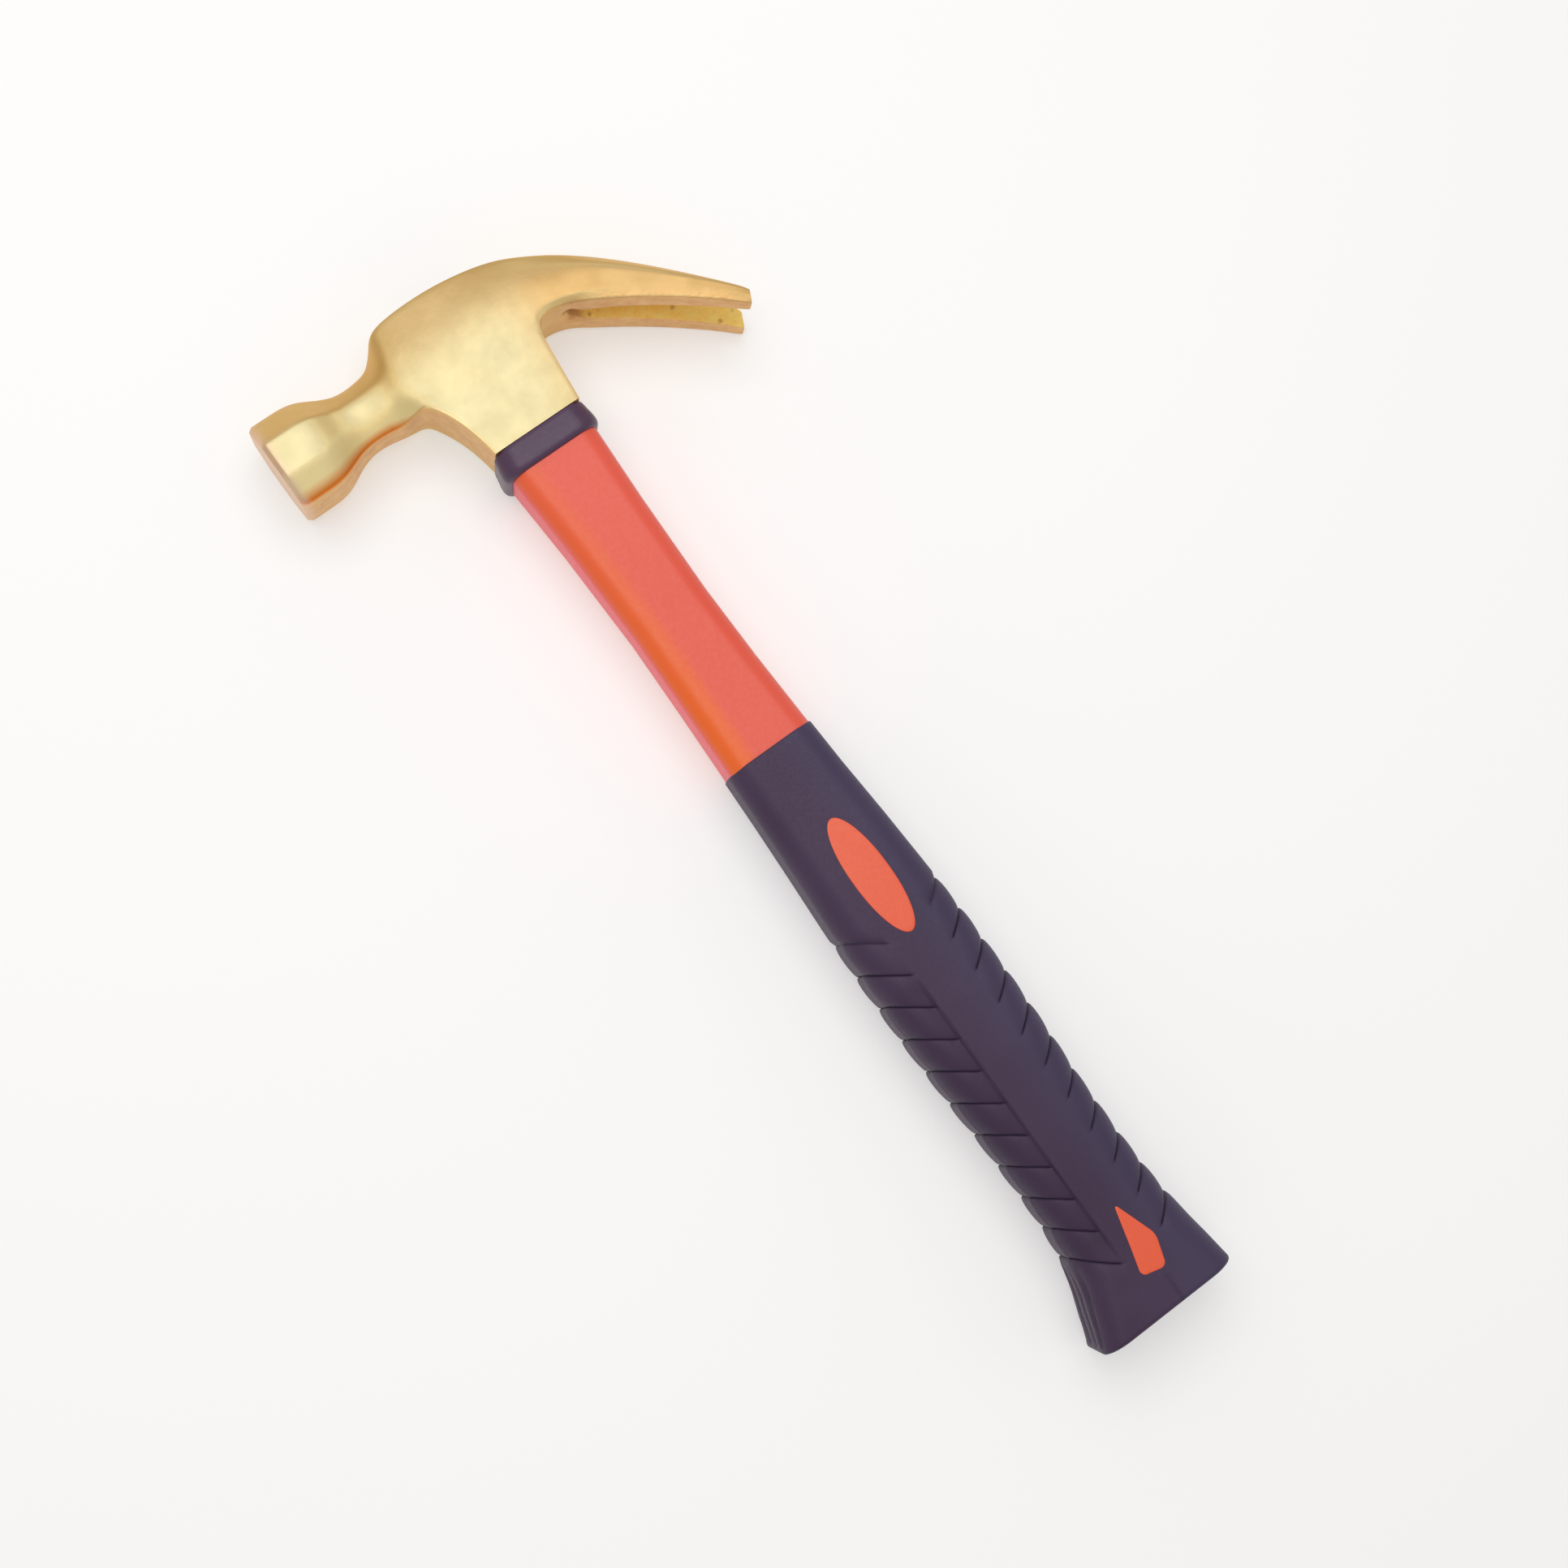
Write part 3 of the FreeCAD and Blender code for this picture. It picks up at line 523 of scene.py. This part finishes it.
def toneHead(marks, rows, prongRows):
    # how much of each tone the metal shows, per vert of the cage
    for row, value in zip(rows, headSet["faceTones"]):
        for vert in row:
            vert[marks["faceTone"]] = value
    # a painted orange reflection along the neck's lower ridge, fading out into the cheeks
    for index, row in enumerate(rows[:neckEnd + 1]):
        row[6][marks["ridge"]] = 1 - headSet["ridgeLoss"] * easeUp(index, neckEnd - 2, 3)
    # undersides of the neck and the prongs: as cast, and in painted shade
    for row in rows[1:neckEnd + 2]:
        for vert in row[7:]:
            vert[marks["castAndShade"]] = 1
    for row in prongRows:
        row[5][marks["castAndShade"]] = headSet["edgeTone"]
        row[6][marks["castAndShade"]] = 1
    # the root of the nail slot, marked for a painted shade
    for vert in (rows[-1][0], rows[-1][8], prongRows[0][0], prongRows[0][6]):
        vert[marks["slotRoot"]] = 1


def pullSkirt(bm, marks, rows):
    # the underside between its front and rear edge is pulled down to the seam
    along, across, creases = marks["along"], marks["across"], marks["crease"]
    hanging = rows[skirtFirst:skirtLast + 1]
    for index, row in enumerate(hanging):
        for vert, share in zip(row[6:], headSet["skirtShares"]):
            vert[along] = index / (len(hanging) - 1)
            vert[across] = share
            # the skirt's underside: as cast, and in painted shade
            vert[marks["castAndShade"]] = 1 if share < 1 else 0
    under = {vert for row in hanging for vert in row[6:]}
    bottomFaces = [face for face in bm.faces if all(vert in under for vert in face.verts)]
    for y, frontX, rearX, half in headSet["skirt"]:
        made = bmesh.ops.extrude_face_region(bm, geom=bottomFaces)["geom"]
        bmesh.ops.delete(bm, geom=bottomFaces, context="FACES")
        bottomFaces = [part for part in made if isinstance(part, bmesh.types.BMFace)]
        fresh = [part for part in made if isinstance(part, bmesh.types.BMVert)]
        for vert in fresh:
            vert.co = (lerp(frontX, rearX, vert[along]), y, half * vert[across])
            corner = vert[across] > 0.9 and (vert[along] < 0.01 or vert[along] > 0.99)
            for edge in vert.link_edges:
                if corner and edge.other_vert(vert) not in fresh:
                    edge[creases] = headSet["skirtCreases"][round(vert[along])]
    for face in bottomFaces:
        for edge in face.edges:
            if len([other for other in edge.link_faces if other in bottomFaces]) == 1:
                edge[creases] = headSet["seamCrease"]

    # nothing may stay on the middle plane once the half is mirrored
    middle = [face for face in bm.faces if all(abs(v.co.z) < 1e-5 for v in face.verts)]
    bmesh.ops.delete(bm, geom=middle, context="FACES_ONLY")
    loose = [edge for edge in bm.edges if not edge.link_faces]
    bmesh.ops.delete(bm, geom=loose, context="EDGES")


def cutEye(head):
    # a tapered oval taken out of the head from below the seam to above the crown
    bm = bmesh.new()
    addTube(bm, [stadiumPlaces(*row, headSet["eyeCount"]) for row in headSet["eye"]])
    cutter = finishMesh(bm, "eyeCutter", [headMetal])
    cut = head.modifiers.new("eye", "BOOLEAN")
    cut.operation, cut.solver, cut.object = "DIFFERENCE", "EXACT", cutter
    applyModifiers(head, headSet["sharpAngle"])
    bpy.data.objects.remove(cutter)


def paintHeadSheen(head):
    # painted highlight on the polished broad faces: they are painted paler the flatter they lie to the
    # sides; faces that lie level are marked for a painted shade
    levels, shines = [], []
    for vert in head.data.vertices:
        x, y = (vert.co.x - seam.x) / mm, (vert.co.y - seam.y) / mm
        lean = abs(vert.normal.z)
        level = easeUp(lean, *headSet["levelRamp"])
        high = easeUp(y, *headSet["heightRamp"]) * easeUp(x, *headSet["neckRamp"])
        reach = lerp(1.0, headSet["highShare"], high)
        upward = easeUp(vert.normal.y, *headSet["upRamp"])
        sheen = easeUp(lean, lerp(*headSet["sheenStart"], upward), lerp(*headSet["sheenLength"], upward))
        claw = lerp(1.0, lerp(*headSet["clawShare"], level), easeUp(x, *headSet["clawRamp"]))
        levels.append(level)
        shines.append(sheen * reach * claw)
    for name, values in (("flatness", levels), ("polishSheen", shines)):
        head.data.attributes.new(name, "FLOAT", "POINT").data.foreach_set("value", values)


def makeHead():
    bm = bmesh.new()
    marks = {"crease": bm.edges.layers.float.new("crease_edge")}
    for name in ("ridge", "castAndShade", "faceTone", "slotRoot", "along", "across"):
        marks[name] = bm.verts.layers.float.new(name)
    rows, prongRows = headCage(bm)
    creaseHead(bm, marks["crease"], rows, prongRows)
    toneHead(marks, rows, prongRows)
    pullSkirt(bm, marks, rows)

    # rough cast walls inside the nail slot
    slotVerts = {v for row in prongRows for v in (row[0], row[6])} | {rows[-1][0], rows[-1][8]}
    for face in bm.faces:
        if all(v in slotVerts for v in face.verts):
            face.material_index = 1

    bmesh.ops.mirror(bm, geom=bm.verts[:] + bm.edges[:] + bm.faces[:], axis="Z", merge_dist=1e-4)
    for name in ("along", "across"):
        bm.verts.layers.float.remove(bm.verts.layers.float[name])
    head = finishMesh(bm, "hammerHead", [headMetal, castMetal], "head")
    smooth = head.modifiers.new("round", "SUBSURF")
    smooth.levels = smooth.render_levels = headSet["levels"]
    smooth.use_limit_surface = True
    cutEye(head)
    paintHeadSheen(head)


makeHead()
print("head done")


plugSet = {
    # y, half length, half width: up the outside, over the rim and down into the dish
    "rings": [(36.2, 9.9, 7.8), (43.6, 10.15, 8.05), (44.2, 9.9, 7.8), (44.35, 9.4, 7.3),
              (44.2, 8.7, 6.6), (43.2, 8.3, 6.2), (43.0, 7.8, 5.7), (42.9, 4.0, 2.2)],
    "count": 64,
}


def makePlug():
    bm = bmesh.new()
    addTube(bm, [stadiumPlaces(*row, plugSet["count"]) for row in plugSet["rings"]])
    finishMesh(bm, "eyePlug", [plugPlastic], "eye_plug")


makePlug()
print("eye plug done")


collarSet = {
    # y, how far it stands proud of the skirt section
    "profile": [(0.0, -1.5), (0.0, 0.0), (-0.15, 0.45), (-0.6, 0.8), (-1.4, 1.0), (-2.6, 1.2),
                (-4.2, 1.55), (-5.6, 1.7), (-6.6, 1.6), (-7.3, 1.25), (-7.8, 0.7), (-8.0, 0.0),
                (-8.0, -1.5)],
    "front": 14.2, "rear": 12.8, "half": 11.2, "corner": 5.2,
    # how much of it shows at the rear, on the broad sides and in the corners
    "rearShare": 0.7, "sideShare": 0.6, "cornerShare": 0.5,
    "counts": (12, 16, 12),
}


def makeCollar():
    bm = bmesh.new()
    rings = [None]
    for y, proud in collarSet["profile"]:
        front = collarSet["front"] + proud
        rear = collarSet["rear"] + proud * (collarSet["rearShare"] if proud > 0 else 1)
        half = collarSet["half"] + proud * (collarSet["sideShare"] if proud > 0 else 1)
        corner = collarSet["corner"] + proud * collarSet["cornerShare"]
        places = ringPlaces(y, front, rear, half, corner, collarSet["counts"])
        rings.append(addRing(bm, rings[-1], places))
    bmesh.ops.bridge_loops(bm, edges=loopEdges(bm, rings[1]) + loopEdges(bm, rings[-1]))
    finishMesh(bm, "collarRing", [collarRubber], "collar")


makeCollar()
print("collar done")


jacketSet = {
    # distance down the handle: front, rear, half thickness
    "sections": [(0, 14.3, 12.5, 11.0), (8, 14.2, 12.4, 10.9), (30, 13.1, 11.6, 10.5),
                 (60, 12.4, 11.1, 10.2), (82, 12.8, 11.5, 10.5), (104.2, 13.4, 12.3, 11.0),
                 (110, 13.3, 12.2, 10.9)],
    "corner": 5.3, "counts": (12, 14, 10),
    "start": 6.0, "end": 108.0, "ringStep": 2.0,
    # the orange band, a painted highlight along the front corners: mm it fades over on the broad face,
    # where it ends round the corner and the degrees it fades over, its strength at the collar, and where
    # that grows and how long
    "bandFade": 4.0, "bandTurn": (80, 28), "bandLeast": 0.45, "bandRamp": (8, 90),
    "frontTurn": (54, 30),    # the pink front: where it starts round the corner, and degrees
}


def makeJacket():
    bm = bmesh.new()
    highlightMark = bm.verts.layers.float.new("cornerHighlight")
    frontTone = bm.verts.layers.float.new("frontTone")
    corner = jacketSet["corner"]
    steps = round((jacketSet["end"] - jacketSet["start"]) / jacketSet["ringStep"])
    stations = [jacketSet["start"] + step * jacketSet["ringStep"] for step in range(steps + 1)]
    rows = [between(jacketSet["sections"], down) for down in stations]
    rings = addTube(bm, [ringPlaces(-down, *row, corner, jacketSet["counts"])
                         for down, row in zip(stations, rows)])
    for down, (front, _, half), ring in zip(stations, rows, rings):
        strength = lerp(jacketSet["bandLeast"], 1.0, easeUp(down, *jacketSet["bandRamp"]))
        for vert in ring:
            # mm from the corner's centre line; the angle is 0 at the broad face, 90 at the front
            inward, outward = front - corner + vert.co.x, abs(vert.co.z) - half + corner
            angle = 90 - degrees(atan2(max(outward, 0), -inward)) if inward < 0 else 0
            # the painted highlight along the front corner, stronger further from the collar
            glow = easeStep(1 - inward / jacketSet["bandFade"]) * easeDown(angle, *jacketSet["bandTurn"])
            vert[highlightMark] = glow * strength
            vert[frontTone] = easeUp(angle, *jacketSet["frontTurn"])
    finishMesh(bm, "handleJacket", [jacketPlastic], "handle_jacket")


makeJacket()
print("jacket done")


gripSet = {
    # distance down the handle: front, rear, half thickness, corner
    "sections": [(104.2, 13.9, 12.9, 11.5, 6.6), (118, 14.3, 13.5, 12.0, 6.9),
                 (135, 15.0, 14.6, 12.7, 7.4), (151, 15.8, 15.4, 13.2, 7.8),
                 (168, 16.4, 16.2, 13.6, 8.2), (186, 16.6, 16.4, 13.8, 8.5),
                 (204, 16.2, 16.1, 13.7, 8.6), (222, 15.4, 15.4, 13.4, 8.6),
                 (238, 15.1, 15.2, 13.3, 8.6), (250, 15.3, 15.5, 13.4, 8.6),
                 (258, 16.2, 16.0, 13.6, 8.6), (266, 17.9, 16.9, 13.9, 8.2),
                 (274, 20.5, 17.9, 14.2, 7.4), (282.7, 23.5, 18.9, 14.5, 6.6)],
    "counts": (14, 24, 14),
    # ribs; here and below a ramp is where it starts, or ends, and how long it is
    "ribStart": 164.0, "ribCount": 11, "ribPitch": 10.2, "ribSlant": 33.0,    # degrees
    "slantRamp": (125, 34), "slantFade": 14,
    "ribDepth": 1.15, "ribDepthFace": 0.75, "ribFaceFade": 5,
    "ribPeak": 0.7, "ribFlat": 0.4,    # the crest leans to one groove and is broad
    "ribEdge": 1.2, "ribLead": (-0.15, 0.25), "ribEndFade": 0.8, "grooveShare": 0.07,
    "ribRings": (0, 0.02, 0.05, 0.1, 0.18, 0.3, 0.45, 0.6, 0.74, 0.85, 0.92, 0.97),
    # the panel in front of the spine and the plain strip behind it
    "ledgeX": -5.4, "ledgeDepth": 0.7, "ledgeEdge": 0.6, "ledgeFrontRamp": (-14, 8),
    "ledgeRamp": (172, 8), "ledgeEnd": (266, 8), "ledgeHalf": 6, "rearInner": 7.6,
    "frontShare": 0.35, "panelDark": 0.35, "lineDark": 0.8, "lineShift": 0.4, "lineHalf": 0.7,
    "smoothStep": 2.2, "buttStep": 0.8, "lipRadius": 0.5, "lipDepth": 1.4, "buttRound": 1.3,
    "heelGrooves": (-9.0, -3.2, 3.2, 9.0), "heelHalf": 1.3, "heelReach": 5,
    "heelRamp": (258.0, 8), "heelEnd": (281.2, 1.5), "heelDepth": 0.7, "heelDark": 0.6,
    "partingX": 1.4, "partingHalf": 0.5, "partingRamp": (273.5, 1),
    "partingDepth": 0.2, "partingDark": 0.5,
    "rearRamp": (-3, 12), "rearShare": 0.55, "sharpAngle": 50,
}


def ribDip(down, x, z, half):
    # how far the rubber is sunk at a spot, and how dark the painted shade in its groove is
    s = gripSet
    turn = (down - s["ribStart"]) / s["ribPitch"]
    if turn < 0 or turn > s["ribCount"]:
        return 0, 0
    edge = easeUp(abs(x), -s["ledgeX"] if x < 0 else s["rearInner"], s["ribEdge"])
    part = turn % 1
    shape = max(0, sin(pi * part ** s["ribPeak"])) ** s["ribFlat"]
    depth = lerp(s["ribDepthFace"], s["ribDepth"], easeDown(abs(z), half, s["ribFaceFade"]))
    ends = easeUp(turn, *s["ribLead"]) * easeDown(turn, s["ribCount"], s["ribEndFade"])
    dark = max(0, 1 - min(part, 1 - part) / s["grooveShare"]) * ends
    return depth * (1 - shape) * edge * ends, dark * edge


def ledgeDip(down, x, z):
    # the panel in front of the smooth spine lies a little lower than the spine; it is painted darker,
    # with a painted shade darkest at its edge
    s = gripSet
    if x > 0 or abs(z) < s["ledgeHalf"]:
        return 0, 0
    fade = easeUp(down, *s["ledgeRamp"]) * easeDown(down, *s["ledgeEnd"])
    inside = easeDown(x, s["ledgeX"], s["ledgeEdge"])
    line = 1 - abs(x - s["ledgeX"] + s["lineShift"]) / s["lineHalf"]
    dip = s["ledgeDepth"] * inside * fade * lerp(s["frontShare"], 1, easeUp(x, *s["ledgeFrontRamp"]))
    return dip, fade * max(s["panelDark"] * inside, s["lineDark"] * line)


def heelDip(down, x, z, front):
    # short grooves down the front of the flared butt with painted shade in them, and the mould's parting
    # line under the kite, painted darker
    s = gripSet
    if x < -front + s["heelReach"]:
        nearest = min(abs(z - groove) for groove in s["heelGrooves"])
        ends = easeUp(down, *s["heelRamp"]) * easeDown(down, *s["heelEnd"])
        cut = max(0, 1 - (nearest / s["heelHalf"]) ** 2) * ends
        return s["heelDepth"] * cut, s["heelDark"] * cut
    line = max(0, 1 - abs(x - s["partingX"]) / s["partingHalf"]) * easeUp(down, *s["partingRamp"])
    return s["partingDepth"] * line, s["partingDark"] * line


def plainRing(down, shrink):
    # the grip's outline at a distance down the handle, drawn in by the shrink
    front, rear, half, corner = between(gripSet["sections"], down)
    return ringPlaces(-down, front - shrink, rear - shrink, half - shrink, corner, gripSet["counts"])


def ribbedRing(down, slant):
    # a ring that climbs away from the spine by the slant, with its dips and how dark the painted shade
    # is at each spot
    s = gripSet
    places, darks = [], []
    for index, level in enumerate(plainRing(down, 0)):
        here = down - slant * max(0, abs(level.x) + s["ledgeX"])
        front, rear, half, corner = between(s["sections"], here)
        spot = plainRing(here, 0)[index]
        dips = (ribDip(down, spot.x, spot.z, half), ledgeDip(here, spot.x, spot.z),
                heelDip(here, spot.x, spot.z, front))
        core = Vector((max(-front + corner, min(rear - corner, spot.x)), spot.y,
                       max(-half + corner, min(half - corner, spot.z))))
        places.append(spot - (spot - core).normalized() * sum(dip for dip, dark in dips))
        darks.append(max(dark for dip, dark in dips))
    return places, darks


def gripStations():
    s = gripSet
    start, end = s["sections"][0][0], s["sections"][-1][0]
    stations = []
    down = start + s["lipRadius"]
    while down < s["ribStart"] - 0.5:
        stations.append(down)
        down += s["smoothStep"]
    for rib in range(s["ribCount"]):
        stations += [s["ribStart"] + (rib + part) * s["ribPitch"] for part in s["ribRings"]]
    down = s["ribStart"] + s["ribCount"] * s["ribPitch"]
    while down < end - s["buttRound"]:
        stations.append(down)
        down += s["buttStep"]
    return stations


def makeGrip():
    s = gripSet
    bm = bmesh.new()
    rearTone = bm.verts.layers.float.new("rearTone")
    grooveShade = bm.verts.layers.float.new("grooveShade")
    start, lip = s["sections"][0][0], s["lipRadius"]
    heel, back = s["sections"][-1][0] - s["buttRound"], s["buttRound"]

    # inside lip, over the edge and down
    ring = addRing(bm, None, plainRing(start, s["lipDepth"]))
    bm.faces.new(ring)
    for step in range(1, 4):
        angle = step * pi / 8
        ring = addRing(bm, ring, plainRing(start + lip * (1 - cos(angle)), lip * (1 - sin(angle))))
    slope = tan(radians(s["ribSlant"]))
    for down in gripStations():
        slant = slope * easeUp(down, *s["slantRamp"]) * easeDown(down, heel, s["slantFade"])
        places, darks = ribbedRing(down, slant)
        ring = addRing(bm, ring, places)
        # painted shade in the grooves and along the edge of the spine
        for vert, dark in zip(ring, darks):
            vert[grooveShade] = dark
    for step in range(6):
        angle = step * pi / 10
        ring = addRing(bm, ring, plainRing(heel + back * sin(angle), back * (1 - cos(angle))))
    bm.faces.new(ring)
    for vert in bm.verts:
        vert[rearTone] = easeUp(vert.co.x, *s["rearRamp"]) * s["rearShare"]
    finishMesh(bm, "rubberGrip", [gripRubber], "grip", s["sharpAngle"])


makeGrip()
print("grip done")


insertSet = {
    # in from the outline and down from the top, at the edge and over the crown
    "proud": 0.12, "foot": 1.2,
    "profile": ((0, 0.5), (0.08, 0.18), (0.25, 0.04), (0.5, 0), (1.5, 0), (2.6, 0), (3.7, 0)),
    "ovalFrom": 128.4, "ovalTo": 164.6, "ovalHalf": 5.4, "ovalShift": 0.7, "ovalCount": 64,
    # x and distance down the handle of the kite's corners
    "kite": ((1.3, 251.8), (5.9, 264.6), (3.0, 273.0), (-4.1, 271.2)),
    "kiteRound": 1.7,
}


def ovalOutline():
    middle = (insertSet["ovalFrom"] + insertSet["ovalTo"]) / 2
    reach = (insertSet["ovalTo"] - insertSet["ovalFrom"]) / 2
    outline = []
    for step in range(insertSet["ovalCount"]):
        angle = 2 * pi * step / insertSet["ovalCount"]
        x = insertSet["ovalShift"] + insertSet["ovalHalf"] * cos(angle)
        outline.append((x, middle + reach * sin(angle)))
    return outline


def kiteOutline():
    bm = bmesh.new()
    corners = [bm.verts.new((x, down, 0)) for x, down in insertSet["kite"]]
    bm.faces.new(corners)
    bmesh.ops.bevel(bm, geom=corners, offset=insertSet["kiteRound"], segments=8, profile=0.5,
                    affect="VERTICES", material=-1)
    bmesh.ops.subdivide_edges(bm, edges=[e for e in bm.edges if e.calc_length() > 2], cuts=6)
    face = bm.faces[:][0]
    outline = [(v.co.x, v.co.y) for v in face.verts]
    bm.free()
    return outline


def makeInsert(name, node, outline, side):
    # a low cushion that follows the swell of the grip
    cx = sum(x for x, down in outline) / len(outline)
    cd = sum(down for x, down in outline) / len(outline)

    def ringOf(inset, height):
        places = []
        for x, down in outline:
            share = max(0, 1 - inset / hypot(x - cx, down - cd))
            px, pd = cx + (x - cx) * share, cd + (down - cd) * share
            gripHalf = between(gripSet["sections"], pd)[2]
            places.append(Vector((px, -pd, side * (gripHalf + height))))
        return places

    bm = bmesh.new()
    ring = addRing(bm, None, ringOf(0, -insertSet["foot"]))
    bm.faces.new(ring)
    for inset, drop in insertSet["profile"]:
        ring = addRing(bm, ring, ringOf(inset, insertSet["proud"] - drop))
    bmesh.ops.contextual_create(bm, geom=loopEdges(bm, ring))
    finishMesh(bm, name, [insertPlastic], node)


for sideName, side in (("near", 1), ("far", -1)):
    makeInsert("ovalInsert_" + sideName, "oval_insert_" + sideName, ovalOutline(), side)
    makeInsert("kiteInsert_" + sideName, "kite_insert_" + sideName, kiteOutline(), side)
print("inserts done")

# the fibre rod and its resin stay as the frame has them, inside the head and handle
for node, mat in (("core_rod", glassFibre), ("eye_epoxy", castResin)):
    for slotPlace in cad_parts[node].material_slots:
        slotPlace.material = mat


stageSet = {
    # floor and softbox sizes in metres, places in mm from the seam
    "floorSize": 4.0, "floorColour": colour("CFCECD"), "floorGlow": 0.66,
    "worldColour": (1, 1, 1, 1), "worldStrength": 0.47,
    "softboxPlace": (20, 180, 880), "softboxSize": 0.9, "softboxPower": 4.5,
    "cameraPlace": (-98.62, -132.08, 620.86), "cameraLooksAt": (-1.83, -113.75, 0.0),
    "cameraRoll": 35.96, "lens": 54.34, "sensor": 36.0, "clip": (0.01, 20),
}


def makeFloor():
    bm = bmesh.new()
    bmesh.ops.create_grid(bm, x_segments=8, y_segments=8, size=stageSet["floorSize"] / 2)
    mesh = bpy.data.meshes.new("floor")
    bm.to_mesh(mesh)
    bm.free()
    floor = bpy.data.objects.new("floor", mesh)
    bpy.context.scene.collection.objects.link(floor)
    mat, shader = newMaterial("paleFloor", Roughness=0.8)
    shader.inputs["Base Color"].default_value = stageSet["floorColour"]
    shader.inputs["Emission Color"].default_value = stageSet["floorColour"]
    shader.inputs["Emission Strength"].default_value = stageSet["floorGlow"]
    mesh.materials.append(mat)


def makeLights():
    world = bpy.data.worlds.new("paleRoom")
    bpy.context.scene.world = world
    world.use_nodes = True
    back = world.node_tree.nodes["Background"]
    back.inputs["Color"].default_value = stageSet["worldColour"]
    back.inputs["Strength"].default_value = stageSet["worldStrength"]
    lamp = bpy.data.lights.new("softbox", "AREA")
    lamp.shape = "DISK"
    lamp.size = stageSet["softboxSize"]
    lamp.energy = stageSet["softboxPower"]
    box = bpy.data.objects.new("softbox", lamp)
    bpy.context.scene.collection.objects.link(box)
    place = toFrame @ Vector(stageSet["softboxPlace"])
    box.location = place
    box.rotation_euler = (seam - place).to_track_quat("-Z", "Y").to_euler()


def makeCamera():
    lens = bpy.data.cameras.new("camera")
    lens.lens, lens.sensor_width = stageSet["lens"], stageSet["sensor"]
    lens.clip_start, lens.clip_end = stageSet["clip"]
    camera = bpy.data.objects.new("camera", lens)
    bpy.context.scene.collection.objects.link(camera)
    place = toFrame @ Vector(stageSet["cameraPlace"])
    look = (toFrame @ Vector(stageSet["cameraLooksAt"]) - place).normalized()
    right = look.cross(Vector((0, 1, 0))).normalized()
    up = right.cross(look)
    roll = radians(stageSet["cameraRoll"])
    tiltedUp = up * cos(roll) + right * sin(roll)
    tiltedRight = look.cross(tiltedUp)
    turn = Matrix((tiltedRight, tiltedUp, -look)).transposed().to_4x4()
    camera.matrix_world = Matrix.Translation(place) @ turn
    bpy.context.scene.camera = camera


makeFloor()
makeLights()
makeCamera()
bpy.context.scene.view_settings.view_transform = "Standard"
print("floor, light and camera set")
